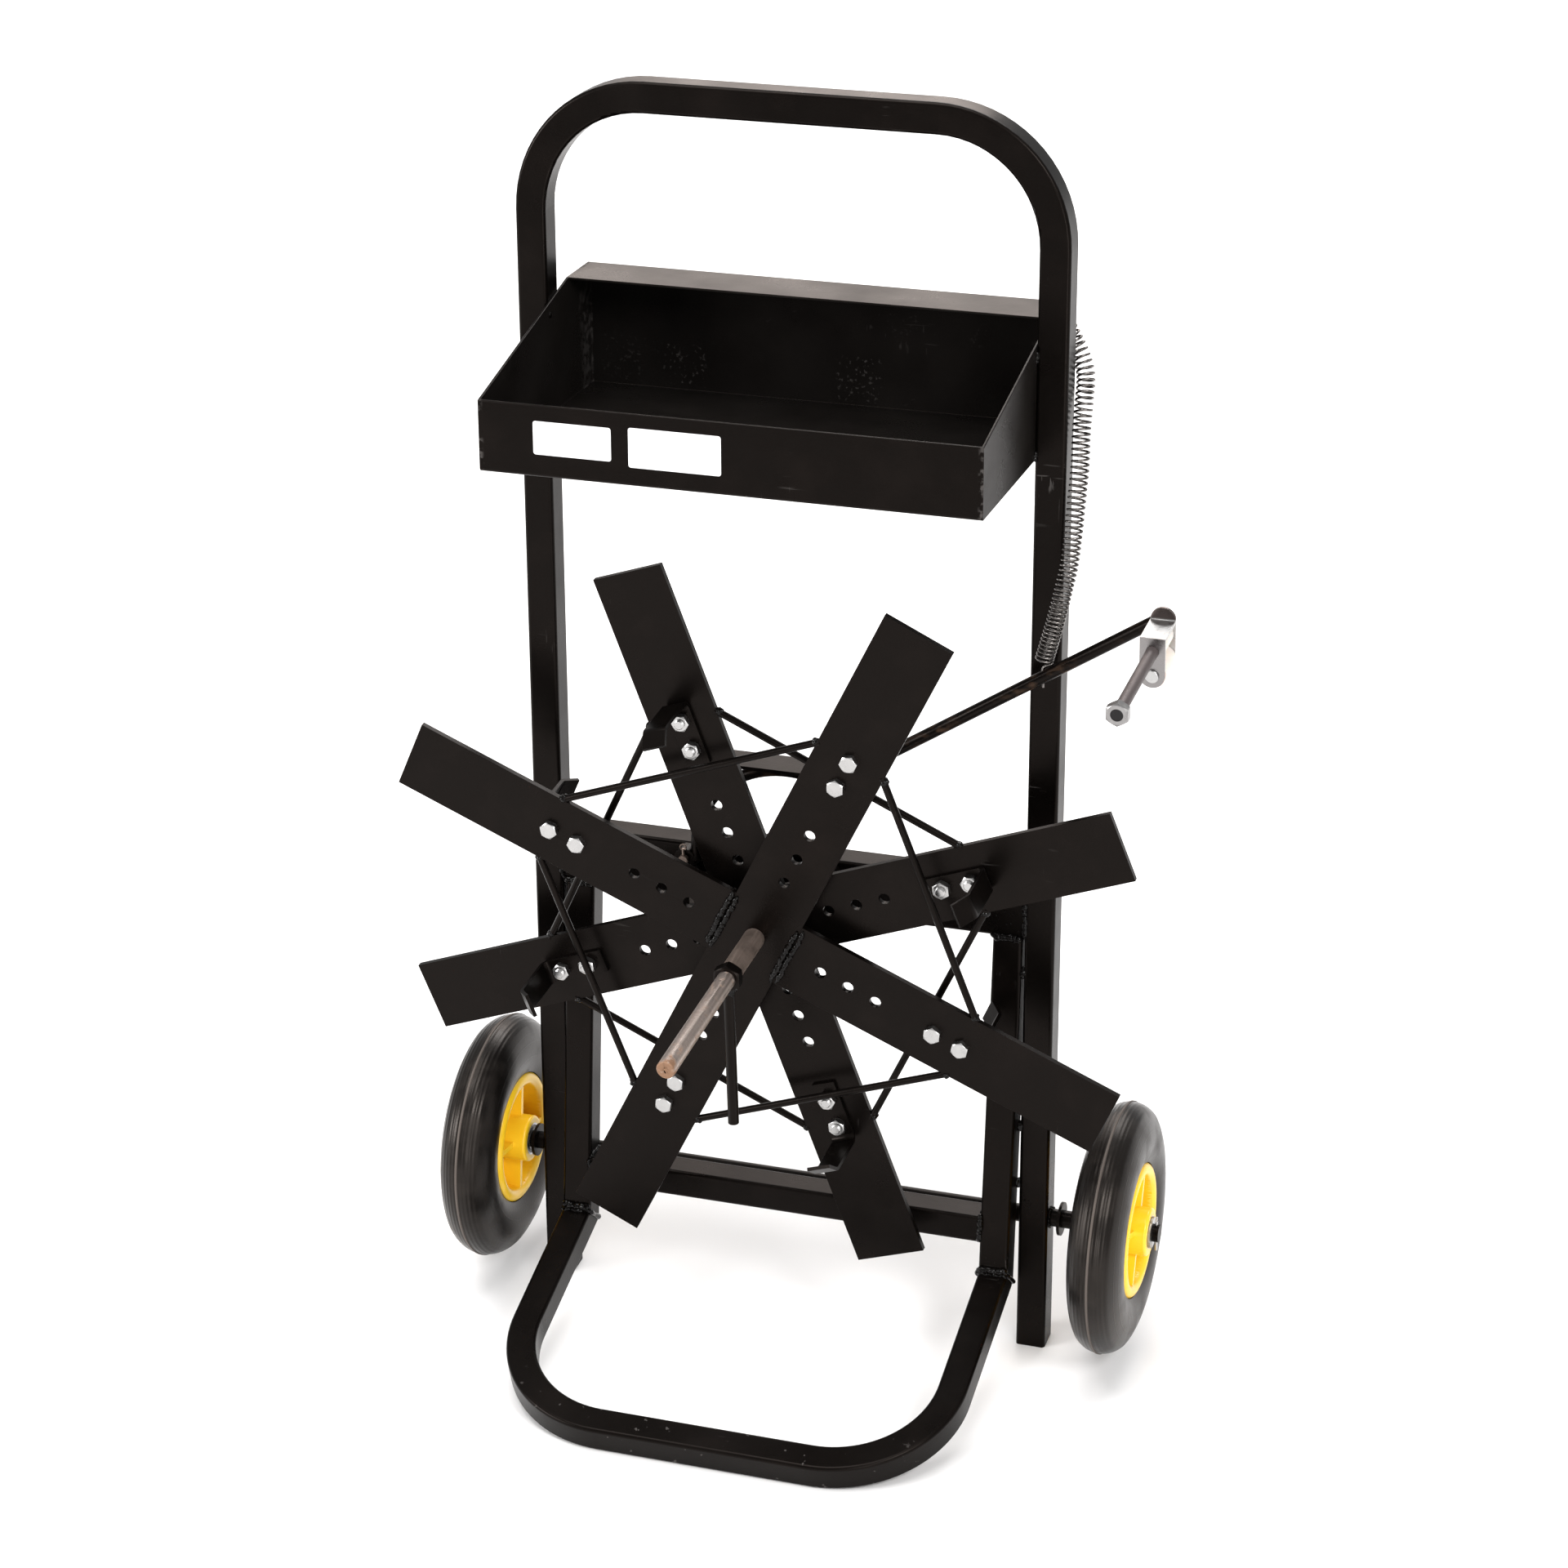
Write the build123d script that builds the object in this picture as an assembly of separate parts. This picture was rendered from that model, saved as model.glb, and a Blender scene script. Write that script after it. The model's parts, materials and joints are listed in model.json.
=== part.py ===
"""Strapping dispenser cart: a tubular hand cart with a coil reel, a sprung swing arm and a tool tray.

Millimetres and degrees. X runs across the cart, +Y to its back and +Z up. While the pieces are drawn, Y
starts at the line where the legs' front faces meet the floor. Each piece is moved when it is saved, so that
the origin is on the floor under the middle of the whole cart.
"""
from build123d import *
import math
import os

os.makedirs("parts", exist_ok=True)

# Clearances
RUNNING = 0.05
SLIDING = 0.3
BOLT_PLAY = 0.5

# Frame tubes
TUBE = 25.0
TUBE_WALL = 2.0
TUBE_CORNER = 3.0
FRAME_WIDTH = 450.0
FRAME_LENGTH = 1058.0
TUBE_BEND = 95.0
LEAN = 4.3
POST_GAP = 2.0
POST_LEAN = 9.65
FOOT_REACH = 245.5
FOOT_SLOPE = 14.0

# Cross bars
UPPER_BAR_HEIGHT = 400.0
UPPER_BAR_TALL = 50.0
UPPER_BAR_DEEP = 25.0
LOWER_BAR_HEIGHT = 117.5

# Tool tray, measured along and square to the legs
TRAY_HEIGHT = 783.5
TRAY_FRONT_REACH = 150.0
TRAY_BACK_REACH = 94.0
TRAY_FRONT_WALL = 57.0
TRAY_BACK_WALL = 102.5
TRAY_FLANGE = 51.0
TRAY_SHEET = 2.0
TRAY_FOLD = 2.5

# Axle and wheels
AXLE_RADIUS = 7.5
AXLE_END = 5.5
STOP_STAND_OFF = 8.0
STOP_RADIUS = 14.2
STOP_THICK = 2.5
WASHER_RADIUS = 13.3
WASHER_THICK = 1.6
SPLIT_PIN_RADIUS = 1.2
SPLIT_PIN_ABOVE = 4.0
SPLIT_PIN_BELOW = 9.0
WHEEL_LIFT = 12.5
WHEEL_PLAY = 17.5
WHEEL_OFF_STOP = 4.0
WHEEL_RADIUS = 105.5
TYRE_HALF_WIDTH = 23.0
TREAD_HALF_WIDTH = 16.0
TREAD_DROP = 7.0
FLASH_HEIGHT = 0.7
FLASH_WIDTH = 1.6
RIM_SEAT_RADIUS = 53.0
RIM_LIP_RADIUS = 57.0
RIM_HALF_WIDTH = 21.5
RIM_LIP = 6.5
RIM_LIP_TUCK = 2.5
RIM_WALL = 6.5
RIM_DRAFT = 1.5
WEB_THICK = 6.0
RIB_COUNT = 4
RIB_THICK = 4.5
RIB_DROP = 2.8
RIB_TURNS = {"left": 79.0, "right": 66.0}
HUB_RADIUS = 20.3
HUB_ROUND = 2.4
HUB_LENGTH = 58.0
BEARING_RADIUS = 14.0
BEARING_WIDTH = 7.0
BEARING_RING = 1.8
SHIELD_DROP = 0.5

# Reel
SPINDLE_DROP = 3.0
SPINDLE_RADIUS = 7.6
SPINDLE_REACH = 237.0
REEL_STAND_OFF = 70.0
CROSS_GAP = 22.0
BAR_WIDTH = 60.0
BAR_THICK = 5.0
BAR_REACH = 317.0
REAR_ANGLE = 109.0
REAR_SKEW = 1.5
FRONT_ANGLE = 63.6
FRONT_SKEW = 2.5
HOLE_RADIUS = 4.75
SPARE_HOLES = (60.0, 85.0, 110.0)
CLIP_BOLTS = (162.5, 187.5)
BOLT_RADIUS = 4.0
BOLT_HEX = 13.0
BOLT_HEAD = 5.3
BOLT_NUT = 6.5
BOLT_TAIL = 2.5
CLIP_WIDTH = 20.0
CLIP_THICK = 3.0
CLIP_BEND = 6.0
CLIP_INNER_END = 148.0
CORE_RADIUS = 204.0
CLIP_LEG = 50.0
CLIP_LIP = 16.0
CLIP_LIP_ANGLE = 40.0
BRACE_RADIUS = 3.0
BRACE_ALONG = 187.0
SLEEVE_RADIUS = 8.8
SLEEVE_LENGTH = 61.0
SPINDLE_NUT_HEX = 21.0
SPINDLE_NUT_THICK = 10.0
HANDLE_RADIUS = 4.5
HANDLE_LENGTH = 124.0
HOUSING_RADIUS = 14.0
HOUSING_TAIL = 8.0
BUSH_RADIUS = 10.0
BUSH_LENGTH = 12.0
BUSH_FLANGE_RADIUS = 13.0
BUSH_FLANGE = 2.0
HUB_TUBE_RADIUS = 15.0
COLLAR_RADIUS = 13.0
COLLAR_LENGTH = 10.0
SET_SCREW_RADIUS = 2.5
SPINDLE_TAIL = 3.0
DRUM_RADIUS = 50.0
DRUM_WALL = 6.0
DRUM_WEB = 4.0
DRUM_WIDTH = 22.0

# Swing arm
PIVOT_X = -87.0
PIVOT_DROP = 9.0
PIVOT_RADIUS = 4.0
PIVOT_REACH = 15.5
PIVOT_HEAD_RADIUS = 7.0
PIVOT_HEAD = 4.0
BOSS_RADIUS = 9.0
BOSS_LENGTH = 11.0
PIVOT_PIN_RADIUS = 1.25
PIVOT_PIN_SPREAD = 20.0
ARM_RADIUS = 5.0
ARM_STAND_OFF = 6.5
BOW_X = 3.0
BOW_RISE = 29.0
BOW_RADIUS = 80.0
BOW_START = 188.0
BOW_END = 64.5
ARM_ANGLE = 33.25
ARM_OVERHANG = 88.0
STRIP_WIDTH = 27.0
STRIP_THICK = 3.0
STRIP_LENGTH = 110.0
SHOE_PLATE = 6.0
SHOE_HEIGHT = 34.0
SHOE_DROP = 33.0
LINING_THICK = 9.0
BRACKET_SHEET = 2.5
BRACKET_WIDTH = 20.0
BRACKET_DEPTH = 38.0
BRACKET_DROP = 41.5
BRACKET_EAR = 10.0
GUIDE_RADIUS = 5.0
GUIDE_DROP = 11.5
GUIDE_REACH = 113.5
GUIDE_HEX = 17.0
GUIDE_NUT = 8.0
ROLLER_SPACING = 20.0
UPPER_ROLLER_RADIUS = 8.5
LOWER_ROLLER_RADIUS = 11.0
LOWER_PIN_RADIUS = 4.0
LOWER_PIN_HEAD = 2.0
LOWER_PIN_HEAD_RADIUS = 5.5

# Tension spring
WIRE = 1.6
COIL_RADIUS = 6.6
CLOSE_PITCH = 4.2
OPEN_PITCH = 5.0
CLOSE_SHARE = 0.3
SPRING_RISE = 250.0
SPRING_SEAT = 12.0
SPRING_TAIL = 4.0
STUD_RADIUS = 3.0
STUD_LENGTH = 20.0
STUD_SEAT = 15.0
STUD_RISE = 13.0
WIRE_PLAY = 0.4
STEPS_PER_TURN = 64
CENTRE_SAMPLES = 4000
# The spring's centre line: out from the right leg's side, back from the leg's front, and share of its height
SPRING_ROUTE = [
    (-8.4, -23.7, 0.0),
    (0.5, -24.3, 0.136),
    (5.5, -20.3, 0.240),
    (8.6, -13.1, 0.336),
    (10.0, -0.7, 0.528),
    (10.2, 4.7, 0.612),
    (9.0, 11.4, 0.708),
    (8.4, 19.9, 0.788),
    (6.6, 30.9, 0.856),
    (1.0, 37.2, 0.908),
    (-5.5, 39.8, 0.952),
    (-12.0, 40.0, 1.0),
]

# Places worked out from the sizes above
tan_lean = math.tan(math.radians(LEAN))
cos_lean = math.cos(math.radians(LEAN))
sin_lean = math.sin(math.radians(LEAN))
half_width = FRAME_WIDTH / 2
leg_inside = half_width - TUBE
post_outside = leg_inside - POST_GAP
post_inside = post_outside - TUBE
bar_front = UPPER_BAR_HEIGHT * tan_lean
bar_back = bar_front + UPPER_BAR_DEEP
bar_bottom = UPPER_BAR_HEIGHT - UPPER_BAR_TALL / 2
bar_top = UPPER_BAR_HEIGHT + UPPER_BAR_TALL / 2
axle_z = WHEEL_RADIUS + WHEEL_LIFT
axle_y = axle_z * tan_lean + TUBE / 2 / cos_lean
stop_face = half_width + STOP_STAND_OFF + STOP_THICK
end_washer_face = stop_face + HUB_LENGTH + WHEEL_PLAY
axle_tip = end_washer_face + WASHER_THICK + AXLE_END
spindle_z = UPPER_BAR_HEIGHT - SPINDLE_DROP
rear_front = bar_front - REEL_STAND_OFF
rear_back = rear_front + BAR_THICK
front_front = rear_front - CROSS_GAP
front_back = front_front + BAR_THICK
sleeve_front = front_front - SLEEVE_LENGTH
spindle_tip = rear_front - SPINDLE_REACH
bush_face = bar_front - BUSH_FLANGE
hub_back = bush_face - SLIDING
housing_back = bar_back + HOUSING_TAIL
collar_front = housing_back + BUSH_FLANGE + SLIDING
collar_back = collar_front + COLLAR_LENGTH
pivot_z = bar_top - PIVOT_DROP
arm_y = bar_front - ARM_STAND_OFF
boss_back = bar_front - SLIDING
boss_front = boss_back - BOSS_LENGTH
bow_z = spindle_z + BOW_RISE
bow_end = math.radians(BOW_END)
arm_root_x = BOW_X + BOW_RADIUS * math.cos(bow_end)
arm_root_z = bow_z + BOW_RADIUS * math.sin(bow_end)
arm_slope = math.tan(math.radians(ARM_ANGLE))
bracket_x = half_width + ARM_OVERHANG
bracket_z = arm_root_z + (bracket_x - arm_root_x) * arm_slope
bracket_back = arm_y - ARM_RADIUS + SLIDING
bracket_front = bracket_back - BRACKET_DEPTH
guide_z = bracket_z - GUIDE_DROP
lower_pin_z = guide_z - ROLLER_SPACING


def tray_point(back, up):
    """A point of the tray's side outline, back from the legs' front and up along them."""
    return (0, back, TRAY_HEIGHT + up)


def leaned(shape):
    """Tip a shape drawn with upright legs back by the legs' lean."""
    return Rot(-LEAN, 0, 0) * shape


def leaned_point(x, back, up):
    """The place of a point given back from the legs' front and up along them."""
    return Vector(x, back * cos_lean + up * sin_lean, up * cos_lean - back * sin_lean)


tray_back_edge = leaned_point(*tray_point(TRAY_BACK_REACH, TRAY_BACK_WALL))
origin_y = (spindle_tip + tray_back_edge.Y) / 2


def save(name, solids):
    """Write one node, moved so that the origin is under the middle of the cart."""
    pieces = [Pos(0, -origin_y, 0) * solid for solid in solids]
    shape = pieces[0] if len(pieces) == 1 else Compound(pieces)
    export_step(shape, "parts/" + name + ".step")


def rod(start, end, radius):
    """A round bar between two points."""
    run = Vector(*end) - Vector(*start)
    return extrude(Plane(origin=start, z_dir=run) * Circle(radius), run.length)


def ring(start, end, outer, inner):
    """A round tube or washer between two points."""
    return rod(start, end, outer) - rod(start, end, inner)


def hexagon(start, end, across):
    """A hexagonal bar between two points, by its width across flats."""
    run = Vector(*end) - Vector(*start)
    outline = RegularPolygon(across / 2, 6, major_radius=False)
    return extrude(Plane(origin=start, z_dir=run) * outline, run.length)


def tube_section(wide, deep):
    """The hollow section of a frame tube."""
    inside = RectangleRounded(wide - 2 * TUBE_WALL, deep - 2 * TUBE_WALL, TUBE_CORNER - TUBE_WALL)
    return RectangleRounded(wide, deep, TUBE_CORNER) - inside


def bent_tube(points):
    """A frame tube bent along a U, with its first run square to its section."""
    path = FilletPolyline(*points, radius=TUBE_BEND)
    start = Plane(origin=points[0], x_dir=(1, 0, 0), z_dir=Vector(*points[1]) - Vector(*points[0]))
    return sweep(start * tube_section(TUBE, TUBE), path=path)


def cross_tube(half_length, front, bottom, deep, tall):
    """A straight tube across the cart."""
    corner = (-half_length, front + deep / 2, bottom + tall / 2)
    start = Plane(origin=corner, x_dir=(0, 1, 0), z_dir=(1, 0, 0))
    return extrude(start * tube_section(deep, tall), 2 * half_length)


# Frame

def main_frame_tube():
    """The legs and the handle bow, cut level at the floor and drilled for the axle."""
    side = half_width - TUBE / 2
    top = FRAME_LENGTH - TUBE / 2
    middle = TUBE / 2
    points = [(-side, middle, -TUBE), (-side, middle, top), (side, middle, top), (side, middle, -TUBE)]
    floor_cut = Pos(0, 0, -2 * TUBE) * Box(2 * FRAME_WIDTH, FRAME_WIDTH, 4 * TUBE)
    axle_hole = rod((-FRAME_WIDTH, axle_y, axle_z), (FRAME_WIDTH, axle_y, axle_z), AXLE_RADIUS)
    return leaned(bent_tube(points)) - floor_cut - axle_hole


def tool_tray():
    """The folded tray between the legs: low front wall, high back wall and a flange folded forward."""
    flange_front = TRAY_BACK_REACH - TRAY_FLANGE
    outline = Polyline(
        tray_point(-TRAY_FRONT_REACH, 0),
        tray_point(TRAY_BACK_REACH, 0),
        tray_point(TRAY_BACK_REACH, TRAY_BACK_WALL),
        tray_point(flange_front, TRAY_BACK_WALL),
        tray_point(-TRAY_FRONT_REACH, TRAY_FRONT_WALL),
        close=True,
    )
    hollow = Polyline(
        tray_point(-TRAY_FRONT_REACH + TRAY_SHEET, TRAY_SHEET),
        tray_point(TRAY_BACK_REACH - TRAY_SHEET, TRAY_SHEET),
        tray_point(TRAY_BACK_REACH - TRAY_SHEET, TRAY_BACK_WALL - TRAY_SHEET),
        tray_point(flange_front, TRAY_BACK_WALL - TRAY_SHEET),
        tray_point(flange_front, 2 * TRAY_BACK_WALL),
        tray_point(-TRAY_FRONT_REACH + TRAY_SHEET, 2 * TRAY_BACK_WALL),
        close=True,
    )
    block = extrude(make_face(outline), leg_inside, dir=(1, 0, 0), both=True)
    folds = [edge for edge in block.edges().filter_by(Axis.X) if is_fold(edge)]
    block = fillet(folds, TRAY_FOLD)
    inside = extrude(make_face(hollow), leg_inside - TRAY_SHEET, dir=(1, 0, 0), both=True)
    return leaned(block - inside)


def is_fold(edge):
    """True for the three long edges where the tray's sheet is folded."""
    middle = edge.center()
    at_floor = abs(middle.Z - TRAY_HEIGHT) < TRAY_SHEET
    at_back = abs(middle.Y - TRAY_BACK_REACH) < TRAY_SHEET
    return at_floor or at_back


def mitre_plane():
    """The plane where the posts meet the foot loop, and a point and direction of each tube's faces."""
    post_up = Vector(0, math.sin(math.radians(POST_LEAN)), math.cos(math.radians(POST_LEAN)))
    post_back = Vector(0, post_up.Z, -post_up.Y)
    foot_back = Vector(0, math.cos(math.radians(FOOT_SLOPE)), math.sin(math.radians(FOOT_SLOPE)))
    foot_up = Vector(0, -foot_back.Z, foot_back.Y)
    post_front = Vector(0, bar_front, bar_bottom)
    foot_top = Vector(0, -FOOT_REACH, TUBE * foot_up.Z)
    inner = crossing(post_front, post_up, foot_top, foot_back)
    outer = crossing(post_front + post_back * TUBE, post_up, foot_top - foot_up * TUBE, foot_back)
    along = (outer - inner).normalized()
    return Plane(origin=inner, x_dir=(1, 0, 0), z_dir=Vector(1, 0, 0).cross(along))


def crossing(point_a, run_a, point_b, run_b):
    """Where two lines in a plane across X meet."""
    gap = point_b - point_a
    span = (gap.Y * run_b.Z - gap.Z * run_b.Y) / (run_a.Y * run_b.Z - run_a.Z * run_b.Y)
    return point_a + run_a * span


def kept_side(shape, plane, inside_point):
    """The part of a shape on the same side of a plane as a point."""
    upper = plane.to_local_coords(Vector(*inside_point)).Z > 0
    return split(shape, bisect_by=plane, keep=Keep.TOP if upper else Keep.BOTTOM)


def post(side):
    """A leaning tube inside a leg, from the foot loop to the upper cross bar, clear of the axle."""
    length = UPPER_BAR_HEIGHT + 4 * TUBE
    straight = extrude(tube_section(TUBE, TUBE), length)
    middle_x = side * (post_inside + TUBE / 2)
    turned = Rot(-POST_LEAN, 0, 0) * (Pos(0, TUBE / 2, -length + 2 * TUBE) * straight)
    placed = Pos(middle_x, bar_front, bar_bottom) * turned
    under_bar = kept_side(placed, Plane(origin=(0, 0, bar_bottom)), (0, 0, 0))
    axle_space = rod(on_axle(-FRAME_WIDTH), on_axle(FRAME_WIDTH), AXLE_RADIUS + SLIDING)
    return kept_side(under_bar, mitre_plane(), (middle_x, bar_front, bar_bottom)) - axle_space


def foot_loop():
    """The U of tube that lies forward on the floor, sloping up to the posts."""
    side = post_outside - TUBE / 2
    middle = TUBE / 2
    back = FOOT_REACH + 4 * TUBE
    points = [(-side, back, middle), (-side, middle, middle), (side, middle, middle), (side, back, middle)]
    front_edge = -FOOT_REACH + TUBE * math.sin(math.radians(FOOT_SLOPE))
    loop = Pos(0, front_edge, 0) * (Rot(FOOT_SLOPE, 0, 0) * bent_tube(points))
    return kept_side(loop, mitre_plane(), (0, front_edge, 0))


def upper_cross_bar():
    """The tall tube between the legs, bored for the spindle's housing and the lever's pivot pin."""
    bar = cross_tube(leg_inside, bar_front, bar_bottom, UPPER_BAR_DEEP, UPPER_BAR_TALL)
    housing_hole = rod((0, bar_front - TUBE, spindle_z), (0, bar_back + TUBE, spindle_z), HOUSING_RADIUS)
    pivot_hole = rod((PIVOT_X, bar_front - TUBE, pivot_z), (PIVOT_X, bar_back + TUBE, pivot_z), PIVOT_RADIUS)
    return bar - housing_hole - pivot_hole


def lower_cross_bar():
    """The square tube between the posts, flush with their fronts."""
    front = bar_front - (bar_bottom - LOWER_BAR_HEIGHT) * math.tan(math.radians(POST_LEAN))
    return cross_tube(post_inside, front, LOWER_BAR_HEIGHT - TUBE / 2, TUBE, TUBE)


# Axle and wheels

def on_axle(x):
    """A point on the axle's centre line."""
    return (x, axle_y, axle_z)


def split_pin_x(side):
    """The place of a split pin along the axle."""
    return side * (end_washer_face + WASHER_THICK + AXLE_END / 2)


def wheel_axle():
    """The round bar through both legs, drilled for the split pins."""
    bar = rod(on_axle(-axle_tip), on_axle(axle_tip), AXLE_RADIUS)
    for side in (-1, 1):
        x = split_pin_x(side)
        bar -= rod((x, axle_y, axle_z - TUBE), (x, axle_y, axle_z + TUBE), SPLIT_PIN_RADIUS)
    return bar


def axle_washers(face, thick, radius):
    """A pair of washers on the axle, each from a place along it outwards."""
    pairs = [(on_axle(side * face), on_axle(side * (face + thick))) for side in (-1, 1)]
    return [ring(start, end, radius, AXLE_RADIUS) for start, end in pairs]


def split_pins():
    """A pin with a ring head through each end of the axle."""
    pins = []
    top = axle_z + AXLE_RADIUS + SPLIT_PIN_ABOVE
    bottom = axle_z - AXLE_RADIUS - SPLIT_PIN_BELOW
    for side in (-1, 1):
        x = split_pin_x(side)
        shank = rod((x, axle_y, bottom), (x, axle_y, top), SPLIT_PIN_RADIUS)
        head = Rot(0, 90, 0) * Torus(2 * SPLIT_PIN_RADIUS, SPLIT_PIN_RADIUS / 2)
        pins.append(shank + Pos(x, axle_y, top + SPLIT_PIN_RADIUS) * head)
    return pins


def both_sides(edges):
    """A closed face from the edges of its right half, which starts and ends on the middle line."""
    return make_face([*edges, *[mirror(edge, about=Plane.YZ) for edge in edges]])


def tyre(middle_x):
    """The solid rubber tyre, with a mould line round the tread."""
    seat = RIM_HALF_WIDTH - RIM_LIP
    tuck = RIM_HALF_WIDTH - RIM_LIP_TUCK
    lap = RIM_LIP_RADIUS + SLIDING
    shoulder = WHEEL_RADIUS - TREAD_DROP
    base = Polyline((0, RIM_SEAT_RADIUS), (seat, RIM_SEAT_RADIUS), (seat, lap), (tuck, lap))
    wall = ThreePointArc((tuck, lap), (TYRE_HALF_WIDTH, (lap + shoulder) / 2), (TREAD_HALF_WIDTH, shoulder))
    crown_radius = (TREAD_HALF_WIDTH ** 2 + TREAD_DROP ** 2) / (2 * TREAD_DROP)
    crown_turn = math.degrees(math.asin(TREAD_HALF_WIDTH / crown_radius))
    crown = CenterArc((0, WHEEL_RADIUS - crown_radius), crown_radius, 90 - crown_turn, crown_turn)
    section = both_sides([*base.edges(), *wall.edges(), *crown.edges()])
    flash = Pos(0, WHEEL_RADIUS) * Rectangle(FLASH_WIDTH, 2 * FLASH_HEIGHT)
    return Pos(middle_x, axle_y, axle_z) * revolve(section + flash, Axis.X)


def rim(middle_x, turn):
    """The one-piece rim: a seat with round lips, a web with ribs, and a long hub bored for its bearings."""
    mouth = RIM_SEAT_RADIUS - RIM_WALL
    floor = mouth - RIM_DRAFT
    seat = RIM_HALF_WIDTH - RIM_LIP
    rib_edge = RIM_HALF_WIDTH - RIB_DROP
    hub_end = HUB_LENGTH / 2
    crest = (mouth + RIM_LIP_RADIUS) / 2
    bore = AXLE_RADIUS + BOLT_PLAY
    round_start = HUB_RADIUS - HUB_ROUND
    shaft = Polyline((0, bore), (hub_end, bore), (hub_end, round_start))
    round_end = JernArc((hub_end, round_start), (0, 1), HUB_ROUND, 90)
    dish = Polyline((hub_end - HUB_ROUND, HUB_RADIUS), (WEB_THICK / 2, HUB_RADIUS), (WEB_THICK / 2, floor),
                    (rib_edge, mouth))
    lip = ThreePointArc((rib_edge, mouth), (RIM_HALF_WIDTH, crest), (seat, RIM_LIP_RADIUS))
    back = Polyline((seat, RIM_LIP_RADIUS), (seat, RIM_SEAT_RADIUS), (0, RIM_SEAT_RADIUS))
    edges = [edge for line in (shaft, round_end, dish, lip, back) for edge in line.edges()]
    body = revolve(both_sides(edges), Axis.X)
    inner = HUB_RADIUS - RIB_THICK / 2
    outer = mouth + RIM_DRAFT / 2
    plate = Pos(0, (inner + outer) / 2, 0) * Box(2 * rib_edge, outer - inner, RIB_THICK)
    for number in range(RIB_COUNT):
        body += Rot(turn + number * 360 / RIB_COUNT, 0, 0) * plate
    for side in (-1, 1):
        seat_start = side * (hub_end - BEARING_WIDTH)
        body -= rod((seat_start, 0, 0), (side * HUB_LENGTH, 0, 0), BEARING_RADIUS)
    return Pos(middle_x, axle_y, axle_z) * body


def wheel_bearings(middle_x):
    """The pair of shielded ball bearings in a hub, each with its shields set in between its rings."""
    half = BEARING_WIDTH / 2
    bore = AXLE_RADIUS + RUNNING
    section = Pos(0, (bore + BEARING_RADIUS) / 2) * Rectangle(BEARING_WIDTH, BEARING_RADIUS - bore)
    shield_middle = (bore + BEARING_RADIUS) / 2
    for side in (-1, 1):
        groove = Rectangle(2 * SHIELD_DROP, BEARING_RADIUS - bore - 2 * BEARING_RING)
        section -= Pos(side * half, shield_middle) * groove
    bearing = revolve(section, Axis.X)
    place = HUB_LENGTH / 2 - half
    return [Pos(middle_x + side * place, axle_y, axle_z) * bearing for side in (-1, 1)]


# Reel

def on_spindle(y):
    """A point on the spindle's centre line."""
    return (0, y, spindle_z)


def arm_plane(face_y, angle, forward):
    """A plane on a flat bar's face: X out along the bar, Z away from the face."""
    turn = math.radians(angle)
    return Plane(origin=on_spindle(face_y), x_dir=(math.cos(turn), 0, math.sin(turn)), z_dir=(0, -forward, 0))


def cross_angles(angle, skew):
    """The four arms of a cross, anticlockwise seen from the front: long, half, long, half."""
    return [angle, angle + 90 + skew, angle + 180, angle + 270 + skew]


def cross_bars(back_y, angle, skew, bore):
    """One long flat bar through the middle and two half bars welded to its edges."""
    angles = cross_angles(angle, skew)
    long_face = Rectangle(2 * BAR_REACH, BAR_WIDTH) - Circle(bore)
    half_face = Pos(BAR_REACH / 2, 0) * Rectangle(BAR_REACH, BAR_WIDTH)
    for place in SPARE_HOLES + CLIP_BOLTS:
        long_face -= Pos(place, 0) * Circle(HOLE_RADIUS)
        long_face -= Pos(-place, 0) * Circle(HOLE_RADIUS)
        half_face -= Pos(place, 0) * Circle(HOLE_RADIUS)
    long_bar = extrude(arm_plane(back_y, angle, 1) * long_face, BAR_THICK)
    through = whole_bar(back_y, angle)
    halves = [extrude(arm_plane(back_y, turn, 1) * half_face, BAR_THICK) - through for turn in angles[1::2]]
    return long_bar, halves


def whole_bar(back_y, angle):
    """The space that a flat bar through the middle fills, its holes included."""
    return extrude(arm_plane(back_y, angle, 1) * Rectangle(2 * BAR_REACH, BAR_WIDTH), BAR_THICK)


def brace_rods(back_y, angle, skew):
    """Four straight rods, each from an arm's edge to the next arm's edge."""
    middle_y = back_y - BAR_THICK / 2
    angles = cross_angles(angle, skew)
    bars = [whole_bar(back_y, turn) for turn in angles[:2]]
    rods = []
    for number, turn in enumerate(angles):
        following = angles[(number + 1) % len(angles)]
        start = edge_point(middle_y, turn, 1)
        end = edge_point(middle_y, following, -1)
        reach = (end - start).normalized() * BRACE_RADIUS
        rods.append(rod(tuple(start - reach), tuple(end + reach), BRACE_RADIUS) - bars[0] - bars[1])
    return rods


def edge_point(y, angle, side):
    """The point on an arm's edge where a brace rod meets it."""
    return arm_plane(y, angle, 1).from_local_coords(Vector(BRACE_ALONG, side * BAR_WIDTH / 2, 0))


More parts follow.
